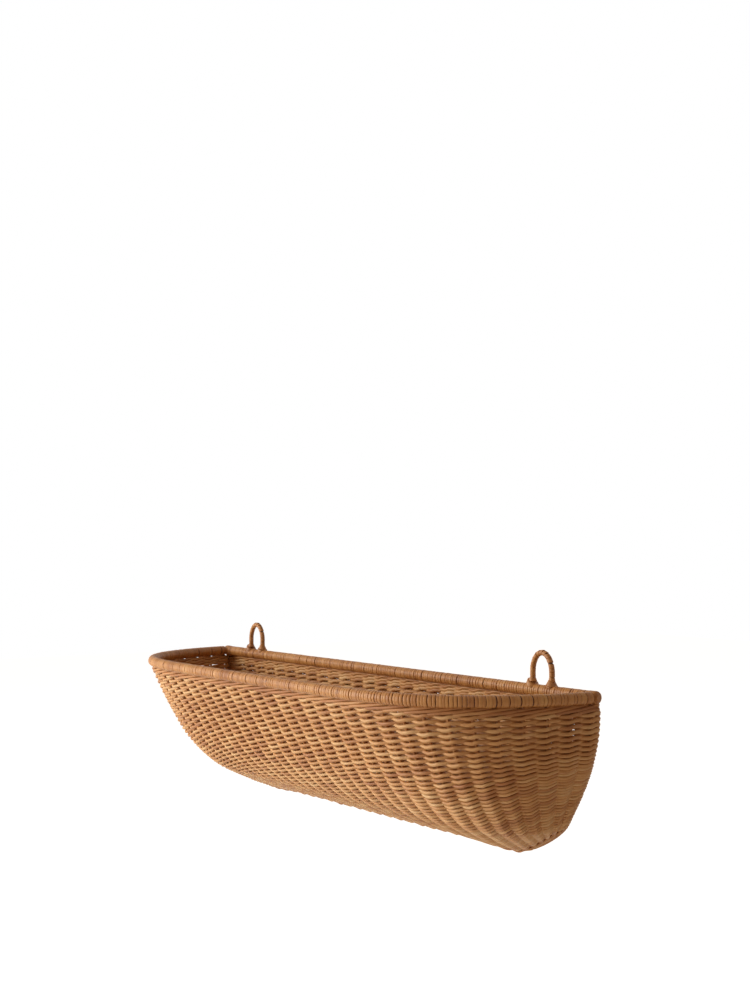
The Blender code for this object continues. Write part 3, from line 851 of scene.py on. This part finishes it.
    def add_closing_row(self, tubes: TubeMaker, last: Row, random: np.random.Generator) -> None:
        """Adds the row that closes the bottom between the front and the back.

        Args:
            tubes: Where it goes.
            last: The last row all round.
            random: The source of small differences.
        """
        short = self.steps // 2
        count = 2 * self.form.last_stake * self.steps + 1
        line = last.line[short : count - short].copy()
        line[:, 1] = (line[:, 1] - self.form.stake_inset) / 2
        line[:, 2] -= self.closing_drop
        out = np.tile(self.closing_out, (len(line), 1))
        across = np.cross([1.0, 0.0, 0.0], self.closing_out)
        tightness = np.full(len(line), self.end_tightness)
        radii = np.full(len(line), self.closing_thickness * self.strand_radius)
        for phase in (0.0, math.pi):
            angle = math.pi * (np.arange(len(line)) / self.steps + 0.5) + phase
            depth = self.closing_swing * self.swing * np.cos(angle)
            aside = self.twist * self.rise(angle, tightness)
            centre = line + out * depth[:, None] + across * aside[:, None]
            tubes.add(centre, radii, self.sides, out, float(random.uniform(0, 1)))

    def add_rim_rows(self, tubes: TubeMaker, random: np.random.Generator) -> None:
        """Adds the rows right under the rim, inside the stakes' laid-down ends.

        Args:
            tubes: Where they go.
            random: The source of small differences.
        """
        for row in self.rim_rows:
            level = row / self.form.height
            line, out, _ = self.row_line(level, level)
            line = line - out * self.rim_row_inset
            radii = np.full(len(line), self.strand_radius)
            for phase in (0.0, math.pi):
                angle = math.pi * np.arange(len(line)) / self.steps + phase
                depth = self.rim_row_swing * np.cos(angle)
                height = self.twist * self.rise(angle, self.tightness(len(line)))
                centre = line + out * depth[:, None] + UP * height[:, None]
                tubes.add(centre, radii, self.sides, out, float(random.uniform(0, 1)), closed=True)

    def tightness(self, count: int) -> np.ndarray:
        """How soon the strands close up, at each point of a whole row.

        Args:
            count: The number of points.

        Returns:
            One value for each point.
        """
        number = np.arange(count) / self.steps - self.form.last_stake
        front = np.interp(
            np.abs(number), (self.last_loose_stake, self.first_tight_stake),
            (self.front_tightness, self.end_tightness),
        )
        return np.where(number <= self.form.last_stake, front, self.back_tightness)

    def rise(self, angle: np.ndarray, tightness: np.ndarray) -> np.ndarray:
        """Height of a strand over its twist, from -1 to 1."""
        sin = np.sin(angle)
        return sin * np.sqrt(1 + tightness**2) / np.sqrt(sin**2 + tightness**2)

    def room(self, rows: list[Row], row: int) -> np.ndarray:
        """Mean distance from a row to the rows above and below it, at each point.

        Args:
            rows: Every row.
            row: The row's number from the top.

        Returns:
            Lengths.
        """
        line = rows[row].line
        sides = []
        for step in (-1, 1):
            distance = np.full(len(line), np.nan)
            other = row + step
            while 0 <= other < len(rows) and np.isnan(distance).any():
                new = rows[other].present & np.isnan(distance)
                distance[new] = np.linalg.norm(rows[other].line[new] - line[new], axis=1)
                other += step
            if not np.isnan(distance).any():
                sides.append(distance)
        return blur_round(np.mean(sides, axis=0))

    def add_row(
        self, tubes: TubeMaker, rows: list[Row], number: int, random: np.random.Generator
    ) -> None:
        """Adds the two strands of one row, whose stitches climb to the right outside.

        Args:
            tubes: Where they go.
            rows: Every row.
            number: The row's number from the top.
            random: The source of small differences.
        """
        row = rows[number]
        line, out = row.line, row.out
        up = np.cross(out, unit(np.roll(line, -1, 0) - np.roll(line, 1, 0)))
        up *= np.sign(up[:, 2:3]) + (up[:, 2:3] == 0)
        up = unit(up)
        most = 1 + self.most_widening * ramp(row.level, *self.widening)
        squeeze = np.clip(self.room(rows, number) / self.top_pitch, self.least_room, most)
        t = np.arange(len(line)) / self.steps
        stakes = len(line) // self.steps + 2
        wobble = np.interp(t, np.arange(stakes), random.normal(0, self.uneven_height, stakes))
        wobble *= np.clip(np.minimum(t, t[-1] - t), 0, 1)
        radius = self.strand_radius * (1 + random.normal(0, self.uneven_thickness))
        tightness = self.tightness(len(line))
        thick = np.interp(
            tightness, (self.back_tightness, self.end_tightness, self.front_tightness),
            (self.back_thickness, self.end_thickness, 1.0),
        )
        radii = radius * blur_round(thick) * (1 - self.room_share + self.room_share * squeeze)
        tightness = tightness * (1 - self.most_closing * ramp(row.level, *self.closing))
        swing = self.swing * (1 - self.most_flattening * ramp(row.level, *self.flattening))
        whole = bool(row.present.all())
        for phase in (0.0, math.pi):
            angle = math.pi * t + phase
            depth = np.minimum(swing * np.cos(angle), row.room_out)
            height = self.twist * squeeze * self.rise(angle, tightness) + wobble
            centre = line + out * depth[:, None] + up * height[:, None]
            centre[:, 1] = np.minimum(centre[:, 1], -radii - WALL_GAP)
            tubes.add(
                centre[row.present], radii[row.present], self.sides, out[row.present],
                float(random.uniform(0, 1)), closed=whole,
            )


@dataclass
class Stakes:
    """The upright stakes and their ends, which lie along under the rim."""

    form: PocketForm
    radius: float = 0.0015
    end_radius: float = 0.0016
    turn_depth: float = 0.0148  # where a stake leaves its line, below the rim's centre
    foot_depth: float = 0.0132
    top_depth: float = 0.0068
    back_turn: float = 0.0085  # where a stake turns behind the rail
    back_foot_rise: float = 0.0012
    back_rise: float = 0.0036
    turn: float = 0.011  # length along the rim in which it turns
    climb_start: float = 0.6  # share of the turn after which an end climbs
    run: float = 0.062  # length of the climb
    uneven_run: float = 0.06
    least_reach: float = 0.004
    overrun: float = 0.006  # how far past the last stake an end may reach
    outer_inset: float = 0.0017
    tip_inset: float = 0.0034  # by which a tip goes in under the rim
    back_gap: float = 0.0012  # that the bow's side keeps from the back
    bottom_lift: float = 0.0022  # from the bottom to where a stake stands up at the back
    laid_gap: float = 0.0003  # between a laid-down end and the wall
    end_points: int = 22
    down_points: int = 26
    upright_points: int = 12
    laid_points: int = 18
    sides: int = 8

    def laid(self, along: np.ndarray) -> tuple[np.ndarray, np.ndarray]:
        """How far an end has turned and how far it has climbed, at lengths along it."""
        turned = ease(np.clip(along / self.turn, 0, 1))
        climbed = np.clip((along - self.turn * self.climb_start) / self.run, 0, 1)
        return turned, climbed

    def front_end(self, number: int, random: np.random.Generator) -> np.ndarray:
        """The laid-down end of a stake under the bow, from its far tip to its line.

        Args:
            number: The stake's number.
            random: The source of small differences.

        Returns:
            Points in the frame whose Z is 0 at the rim.
        """
        form = self.form
        most = (form.last_stake - number) * form.pitch + self.overrun
        run = self.run * random.uniform(1 - self.uneven_run, 1 + self.uneven_run)
        reach = max(min(self.turn + run, most), self.least_reach)
        along = np.linspace(0, reach, self.end_points)
        turned, climbed = self.laid(along)
        depth = self.turn_depth + (self.foot_depth - self.turn_depth) * turned
        depth = depth - (self.foot_depth - self.top_depth) * climbed
        inset = form.stake_inset + (self.outer_inset - form.stake_inset) * turned
        inset = inset + self.tip_inset * np.clip((climbed - 0.45) / 0.55, 0, 1)
        outer = form.front(number + along / form.pitch, depth / form.height)
        return (outer - inset[:, None] * form.normal(outer))[::-1]

    def line(self, number: int, random: np.random.Generator) -> np.ndarray:
        """The whole middle line of one stake, in the frame whose Z is 0 at the rim."""
        form = self.form
        stop, _, _ = form.end_point(number)
        top = self.turn_depth / form.height
        levels = top + (stop - top) * np.linspace(0.02, 1, self.down_points)
        outer = form.front(np.full(len(levels), float(number)), levels)
        down = outer - form.stake_inset * form.normal(outer)
        down[:, 1] = np.minimum(down[:, 1], -form.stake_inset - self.back_gap)
        line = np.vstack([self.front_end(number, random), down])
        if abs(number) > form.bent_stakes:
            return line[:-1]
        top_x = number * form.rail_pitch
        foot = (line[-1][0], -form.stake_inset, line[-1][2] + self.bottom_lift)
        head = (top_x, -form.stake_inset, -self.back_turn)
        # Behind the rail each end lies along, above the end before it.
        limit = form.rail_pitch * (form.bent_stakes + 0.7) - top_x
        reach = min(self.turn + self.run, max(limit, self.least_reach))
        side = np.linspace(0.002, reach, self.laid_points)
        turned, climbed = self.laid(side)
        depth = self.back_turn - self.back_foot_rise * turned - self.back_rise * climbed
        inset = form.stake_inset - (form.stake_inset - self.radius - self.laid_gap) * turned
        laid = np.stack([top_x + side, -inset, -depth], -1)
        return np.vstack([line, np.linspace(foot, head, self.upright_points), laid])

    def build(self, core: bpy.types.Material) -> bpy.types.Object:
        """Builds all the stakes as one piece.

        Args:
            core: The finish.

        Returns:
            The piece.
        """
        random = np.random.default_rng(11)
        tubes = TubeMaker()
        aside = np.array([0.577, -0.577, 0.577])  # no part of a stake runs this way
        for number in range(-self.form.last_stake, self.form.last_stake + 1):
            line = self.line(number, random)
            line[:, 1] = np.minimum(line[:, 1], -self.radius - WALL_GAP)
            along = unit(np.gradient(line, axis=0))
            outward = np.cross(along, np.cross(aside, along))
            radii = np.full(len(line), self.radius)
            radii[: self.end_points] = self.end_radius
            tubes.add(line, radii, self.sides, outward, float(random.uniform(0, 1)))
        return tubes.finish("stakes", core)


class CaneTurn:
    """One turn of flat cane, modelled once and copied along a rod."""

    def __init__(
        self, sides: int = 18, radius: float = 0.0062, width: float = 0.0034, eased: float = 0.0005
    ) -> None:
        """Models the turn round the X axis and keeps it with a radius and a width of 1.

        Args:
            sides: Faces round it.
            radius: Its real radius.
            width: Its real width.
            eased: How far its two edges are cut back.
        """
        bpy.ops.object.select_all(action="DESELECT")
        bpy.ops.mesh.primitive_cylinder_add(
            vertices=sides, radius=radius, depth=width, end_fill_type="NGON",
            rotation=(0.0, math.pi / 2, 0.0),
        )
        turn = bpy.context.object
        bpy.ops.object.transform_apply(location=False, rotation=True, scale=False)
        bpy.ops.object.mode_set(mode="EDIT")
        bpy.ops.mesh.select_all(action="DESELECT")
        shape = bmesh.from_edit_mesh(turn.data)
        for edge in shape.edges:
            low, high = edge.verts
            edge.select = abs(low.co.x - high.co.x) < width / 10
        shape.select_flush(True)
        bmesh.update_edit_mesh(turn.data)
        # The cane's two edges are eased, which leaves a faint joint between turns.
        bpy.ops.mesh.bevel(offset=eased, segments=2, profile=0.5, affect="EDGES")
        bpy.ops.object.mode_set(mode="OBJECT")
        mesh = turn.data
        self.points = np.array([v.co[:] for v in mesh.vertices]) / (width, radius, radius)
        self.faces = [tuple(p.vertices) for p in mesh.polygons]
        bpy.data.objects.remove(turn, do_unlink=True)


@dataclass
class Wound:
    """Cane wound on a rod: where each turn lies and how wide it is."""

    turn: CaneTurn
    tilt: float = 0.14  # a turn leans by this share of the rod's radius
    uneven_tilt: float = 0.35
    uneven_radius: float = 0.008

    def build(
        self, name: str, line: np.ndarray, up: np.ndarray, radii: np.ndarray,
        widths: np.ndarray, starts: np.ndarray, material: bpy.types.Material, seed: int,
        lift: np.ndarray | None = None,
    ) -> bpy.types.Object:
        """Winds one rod.

        Args:
            name: The piece's name.
            line: Close points of the rod's centre line.
            up: A direction that no part of the line follows.
            radii: Radius of each turn.
            widths: Width of each turn along the rod.
            starts: Length along the line at each turn's middle.
            material: The finish.
            seed: Seed of the small differences.
            lift: Share by which each turn widens from its first edge to its last.

        Returns:
            The piece.
        """
        random = np.random.default_rng(seed)
        reach = lengths_along(line)
        base = self.turn.points
        cos, sin = base[:, 1], base[:, 2]
        points, faces, tones = [], [], []
        for number, start in enumerate(starts):
            behind, middle, ahead = points_at(start + np.array([-0.001, 0.0, 0.001]), reach, line)
            along = unit(ahead - behind)
            side = unit(up - (up @ along) * along)
            across = np.cross(along, side)
            radius = radii[number] * (1 + random.normal(0, self.uneven_radius))
            lean = self.tilt * (1 + random.normal(0, self.uneven_tilt)) * radii[number]
            grow = 1.0 if lift is None else 1 + lift[number] * base[:, 0]
            shift = base[:, 0] * widths[number] + lean * sin
            points.append(
                middle + along * shift[:, None]
                + side * (cos * radius * grow)[:, None]
                + across * (sin * radius * grow)[:, None]
            )
            faces += [tuple(i + number * len(base) for i in face) for face in self.turn.faces]
            tones.append(np.full(len(base), random.uniform(0, 1)))
        mesh = bpy.data.meshes.new(name)
        mesh.from_pydata(np.vstack(points).tolist(), [], faces)
        # The fibres run round the rod, so U follows the turn and V crosses it. Each turn
        # takes its own part of the pattern.
        owner = np.empty(len(mesh.loops), np.int32)
        mesh.loops.foreach_get("vertex_index", owner)
        local = base[owner % len(base)]
        number = owner // len(base)
        angle = np.arctan2(local[:, 2], local[:, 1])
        uvs = np.stack([angle * radii[number], number * 0.37 + local[:, 0] * 0.08], -1)
        return add_piece(name, mesh, np.concatenate(tones), uvs, material)


TURN_FILL = 0.985  # share of its room that a turn of cane takes up
OPEN_JOINT = 0.0007  # usual width of a dark joint between two turns


def wind(
    length: float, width: float, joints: tuple[float, ...], random: np.random.Generator
) -> tuple[np.ndarray, np.ndarray]:
    """Lays turns side by side along a rod, with open joints at given places.

    Args:
        length: Length of the rod.
        width: Usual width of a turn.
        joints: Lengths along the rod at which a dark joint opens.
        random: The source of small differences.

    Returns:
        The middle of each turn and its width.
    """
    middles, widths = [], []
    at = 0.0
    waiting = sorted(joints)
    while at < length - width * 0.4:
        wide = min(width * random.uniform(0.8, 1.25), length - at)
        middles.append(at + wide / 2)
        widths.append(wide * TURN_FILL)
        at += wide
        if waiting and at >= waiting[0]:
            at += OPEN_JOINT * random.uniform(0.7, 1.5)
            waiting.pop(0)
    return np.array(middles), np.array(widths)


@dataclass
class Rim:
    """The bow and the rail, wound with cane peel, and the rods inside them."""

    turn: CaneTurn
    length: float = 0.700
    reach: float = 0.175
    squareness_x: float = 6.1
    squareness_y: float = 1.6
    radius: float = RIM_RADIUS
    uneven_radius: float = 0.00007
    rod_radius: float = 0.0053
    lashing_radius: float = 0.0065
    lashing_bite: float = 0.0009  # by which the rail's end stays inside the lashing
    butt: float = 0.0068  # from the rail's centre line to the bow's two ends
    cap: float = 0.0048  # length of the rail's rounded end
    cap_turns: int = 6
    cap_fall: float = 0.85  # how nearly the cap closes
    turn_width: float = 0.0033
    joint_gap: float = 0.012  # between a known joint and another
    # Listed open joints, in metres from the right end of the bow and from the left end of the rail.
    bow_joints: tuple[float, ...] = (0.007, 0.016, 0.032, 0.046, 0.060, 0.096, 0.126, 0.195)
    rail_joints: tuple[float, ...] = (0.148, 0.250, 0.348, 0.382, 0.432, 0.483, 0.576, 0.613)

    def bow_line(self) -> np.ndarray:
        """Close points of the bow's centre line, from its right end to its left."""
        share = 1 - 2 * np.linspace(0, 1, 1601)
        angle = math.pi / 2 * (1 - np.sign(share) * np.abs(share) ** 3)
        cos, sin = np.cos(angle), np.sin(angle)
        x = np.sign(cos) * np.abs(cos) ** (2 / self.squareness_x) * self.length / 2
        y = RAIL_Y - np.abs(sin) ** (2 / self.squareness_y) * self.reach
        points = np.stack([x, y, np.full(len(x), RIM_Z)], -1)
        return points[y < RAIL_Y - self.butt]

    def joints(self, known: tuple[float, ...], length: float) -> tuple[float, ...]:
        """Places of the open joints: the known ones, and others where none is known."""
        random = np.random.default_rng(5)
        places, at = [], self.joint_gap
        while at < length:
            if all(abs(at - place) > self.joint_gap for place in known):
                places.append(at)
            at += random.uniform(0.016, 0.034)
        return tuple(places) + known

    def build(self, peel: bpy.types.Material, rod: bpy.types.Material) -> list[bpy.types.Object]:
        """Builds the bound rim.

        Args:
            peel: The cane peel's finish.
            rod: The finish of the rods under it.

        Returns:
            The pieces.
        """
        random = np.random.default_rng(23)
        wound = Wound(self.turn)
        bow = self.bow_line()
        bow_length = float(lengths_along(bow)[-1])
        middles, widths = wind(
            bow_length, self.turn_width, self.joints(self.bow_joints, bow_length), random
        )
        radii = self.radius - np.abs(random.normal(0, self.uneven_radius, len(middles)))
        pieces = [wound.build("bow_winding", bow, UP, radii, widths, middles, peel, 31)]
        half = self.length / 2 + self.lashing_radius - self.lashing_bite
        rail = np.linspace((-half, RAIL_Y, RIM_Z), (half, RAIL_Y, RIM_Z), 601)
        middles, widths = wind(
            2 * half - 2 * self.cap, self.turn_width, self.joints(self.rail_joints, 2 * half), random
        )
        thin = self.cap / self.cap_turns
        fine = thin * (np.arange(self.cap_turns) + 0.5)
        middles = np.concatenate([fine, middles + self.cap, 2 * half - fine[::-1]])
        widths = np.pad(widths, self.cap_turns, constant_values=thin)
        from_end = np.minimum(middles, 2 * half - middles)
        radii = np.where(from_end < 2 * self.lashing_radius, self.lashing_radius, self.radius)
        # The last turns are narrow and close over the rail's end like a cap.
        cap = np.clip(1 - from_end / self.cap, 0, 1)
        radii = radii * np.sqrt(1 - self.cap_fall * cap**2)
        radii = radii - np.abs(random.normal(0, self.uneven_radius, len(middles)))
        pieces.append(wound.build("rail_winding", rail, UP, radii, widths, middles, peel, 37))
        rods = TubeMaker()
        for line, count in ((bow, 130), (rail[6:-6], 16)):
            keep = line[np.linspace(0, len(line) - 1, count).astype(int)]
            radii = np.full(len(keep), self.rod_radius)
            rods.add(keep, radii, 12, np.tile(UP, (len(keep), 1)), 0.5)
        pieces.append(rods.finish("rim_rods", rod))
        return pieces


@dataclass
class Loops:
    """The two wound hanging loops, with flared turns that tie their legs to the rail."""

    turn: CaneTurn
    spacing: float = 0.5508
    eye_width: float = 0.0224
    radius: float = 0.0029
    rod_radius: float = 0.0022
    arch_height: float = 0.0195  # the arch is half an ellipse, higher than half its width
    arch_points: int = 90
    foot_share: float = 0.6  # of the rail's radius, at which a leg starts
    saddle_height: float = 0.0080
    saddle_flare: float = 0.0034
    turn_width: float = 0.0044
    joints: tuple[float, ...] = (0.033, 0.055)

    def line(self, middle: float) -> np.ndarray:
        """Centre line of one loop, up one leg, over the top and down the other."""
        half = self.eye_width / 2 + self.radius
        angle = math.pi * (1 - np.linspace(0, 1, self.arch_points))
        x = middle + half * np.cos(angle)
        z = self.radius - self.arch_height * (1 - np.sin(angle))
        arch = np.stack([x, np.full(len(x), RAIL_Y), z], -1)
        foot = RIM_Z + RIM_RADIUS * self.foot_share
        return np.vstack([[middle - half, RAIL_Y, foot], arch, [middle + half, RAIL_Y, foot]])

    def flared(self, at: np.ndarray, length: float) -> np.ndarray:
        """Radius of the winding at places along a loop, which flares out at both feet."""
        from_foot = np.minimum(at, length - at) - RIM_RADIUS * (1 - self.foot_share)
        flare = np.clip(1 - from_foot / self.saddle_height, 0, 1)
        return self.radius + self.saddle_flare * flare**1.8

    def build(self, peel: bpy.types.Material, rod: bpy.types.Material) -> list[bpy.types.Object]:
        """Builds both loops.

        Args:
            peel: The cane peel's finish.
            rod: The finish of the rods under it.

        Returns:
            The pieces.
        """
        pieces = []
        wound = Wound(self.turn, tilt=0.42)
        up = np.array([0.0, 1.0, 0.0])
        for side, sign in (("left", -1), ("right", 1)):
            random = np.random.default_rng(41 + sign)
            line = self.line(sign * self.spacing / 2)
            length = float(lengths_along(line)[-1])
            middles, widths = wind(length, self.turn_width, self.joints, random)
            radii = self.flared(middles, length)
            lift = self.flared(middles + widths / 2, length) - self.flared(middles - widths / 2, length)
            name = f"loop_winding_{side}"
            pieces.append(
                wound.build(name, line, up, radii, widths, middles, peel, 43, lift / radii)
            )
            rods = TubeMaker()
            keep = np.vstack([line[0], line[2:-1:4], line[-1]])
            rods.add(keep, np.full(len(keep), self.rod_radius), 10, np.tile(up, (len(keep), 1)), 0.5)
            pieces.append(rods.finish(f"loop_rod_{side}", rod))
        return pieces


def add_seen_share(tree: bpy.types.NodeTree) -> bpy.types.NodeSocket:
    """Adds a share that is 1 for what the camera sees, also mirrored or through a piece.

    Args:
        tree: The node tree.

    Returns:
        The socket with the share.
    """
    rays = add_node(tree, "ShaderNodeLightPath")
    seen = rays.outputs["Is Camera Ray"]
    for kind in ("Is Glossy Ray", "Is Transmission Ray"):
        both = add_node(
            tree, "ShaderNodeMath", {"operation": "MAXIMUM"}, {0: seen, 1: rays.outputs[kind]}
        )
        seen = both.outputs[0]
    return seen


@dataclass
class Studio:
    """The camera, the pale floor and the soft light."""

    camera_place: tuple[float, float, float] = (1.37599, -0.99444, 0.12114)
    azimuth: float = 0.95253
    pitch: float = 0.02272
    lens: float = 53.14
    floor_height: float = -0.62
    floor_size: float = 14.0
    floor_colour: str = "F2F1EF"
    floor_lift: float = 0.88  # light of its own that brings the floor up to white
    world_strength: float = 0.22
    bounce: str = "FFDCC2"  # light that warm walls throw back
    lamp_place: tuple[float, float, float] = (-1.72, -2.52, 0.5)
    lamp_aim: tuple[float, float, float] = (0.0, -0.08, -0.1)
    lamp_size: float = 2.4
    lamp_power: float = 108.0  # watts

    def build(self) -> None:
        """Builds the studio."""
        self.add_camera()
        self.add_floor()
        self.add_world()
        self.add_lamp()

    def add_camera(self) -> None:
        """Adds the camera at the photograph's angle."""
        camera = bpy.data.cameras.new("camera")
        camera.sensor_fit = "VERTICAL"
        camera.sensor_height = 36.0
        camera.sensor_width = 27.0
        camera.lens = self.lens
        camera.clip_start = 0.01
        holder = bpy.data.objects.new("camera", camera)
        bpy.context.scene.collection.objects.link(holder)
        sin, cos = math.sin(self.azimuth), math.cos(self.azimuth)
        forward = Vector((-sin * math.cos(self.pitch), cos * math.cos(self.pitch), math.sin(self.pitch)))
        right = Vector((cos, sin, 0))
        above = right.cross(forward)
        turn = Matrix((right, above, -forward)).transposed()
        holder.matrix_world = Matrix.Translation(self.camera_place) @ turn.to_4x4()
        bpy.context.scene.camera = holder

    def add_floor(self) -> None:
        """Adds the pale floor, which is brought up to white for the camera."""
        bpy.ops.object.select_all(action="DESELECT")
        bpy.ops.mesh.primitive_plane_add(size=self.floor_size, location=(0, 0, self.floor_height))
        floor = bpy.context.object
        floor.name = "floor"
        material = bpy.data.materials.new("Pale matt studio floor")
        material.use_nodes = True
        tree = material.node_tree
        shader = tree.nodes["Principled BSDF"]
        shader.inputs["Base Color"].default_value = linear(self.floor_colour)
        shader.inputs["Roughness"].default_value = 0.9
        shader.inputs["Specular IOR Level"].default_value = 0.0
        lift = add_node(
            tree, "ShaderNodeMath", {"operation": "MULTIPLY", 1: self.floor_lift},
            {0: add_seen_share(tree)},
        )
        shader.inputs["Emission Color"].default_value = (1.0, 1.0, 1.0, 1.0)
        tree.links.new(lift.outputs[0], shader.inputs["Emission Strength"])
        floor.data.materials.append(material)

    def add_world(self) -> None:
        """Adds the white surroundings: plain to the camera, and softer as light."""
        world = bpy.data.worlds.new("White studio")
        bpy.context.scene.world = world
        world.use_nodes = True
        tree = world.node_tree
        background = tree.nodes["Background"]
        seen = add_seen_share(tree)
        tint = add_node(
            tree, "ShaderNodeMix",
            {"data_type": "RGBA", MIX_FIRST: linear(self.bounce), MIX_SECOND: (1.0, 1.0, 1.0, 1.0)},
            {MIX_SHARE: seen},
        )
        strength = add_node(
            tree, "ShaderNodeMapRange", {"To Min": self.world_strength, "To Max": 1.0},
            {"Value": seen},
        )
        tree.links.new(tint.outputs[MIXED], background.inputs["Color"])
        tree.links.new(strength.outputs[0], background.inputs["Strength"])

    def add_lamp(self) -> None:
        """Adds the one soft lamp, which looks at the pocket."""
        lamp = bpy.data.lights.new("key_lamp", "AREA")
        lamp.shape = "SQUARE"
        lamp.size = self.lamp_size
        lamp.energy = self.lamp_power
        holder = bpy.data.objects.new("key_lamp", lamp)
        bpy.context.scene.collection.objects.link(holder)
        holder.location = self.lamp_place
        way = Vector(self.lamp_aim) - Vector(self.lamp_place)
        holder.rotation_euler = way.to_track_quat("-Z", "Y").to_euler()


class WallPocket:
    """The whole pocket."""

    def __init__(self) -> None:
        """Makes the finishes and the form."""
        self.core = ROUND_CORE.make()
        # The stakes' finish is the core darkened with painted shade.
        self.shade_darkened_stake_core = SHADE_DARKENED_STAKE_CORE.make()
        self.peel = WOUND_PEEL.make()
        # The rods' finish is painted dark as the shade in the binding's joints.
        self.rod = SHADE_DARKENED_BOUND_ROD.make()
        self.form = PocketForm()
        self.turn = CaneTurn()

    def build(self, names: list[str]) -> None:
        """Builds every piece and lets it stand for its CAD nodes.

        Args:
            names: The CAD nodes.
        """
        weave = Weave(self.form).build(self.core)
        stakes = Stakes(self.form).build(self.shade_darkened_stake_core)
        for piece in [*weave, stakes]:
            piece.data.transform(Matrix.Translation((0, 0, RIM_Z)))
        rim = Rim(self.turn).build(self.peel, self.rod)
        loops = Loops(self.turn).build(self.peel, self.rod)
        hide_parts("outer_weave", "inner_weave")
        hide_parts(*[name for name in names if "stake" in name])
        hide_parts("bow_binding")
        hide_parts("back_binding", "corner_lashing_left", "corner_lashing_right")
        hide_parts("front_bow", "back_rail")
        for side, winding in (("left", loops[0]), ("right", loops[2])):
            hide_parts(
                f"loop_binding_{side}", f"loop_lashing_{side}_inner",
                f"loop_lashing_{side}_outer",
            )
        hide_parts("loop_core_left")
        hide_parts("loop_core_right")


def main() -> None:
    """Builds the scene and notes the sizes."""
    logging.basicConfig(level=logging.INFO, format="%(message)s")
    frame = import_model()
    bpy.ops.object.select_all(action="DESELECT")
    bpy.context.scene.view_settings.view_transform = "Standard"
    Studio().build()
    WallPocket().build(sorted(frame["nodes"]))


if __name__ == "__main__":
    main()
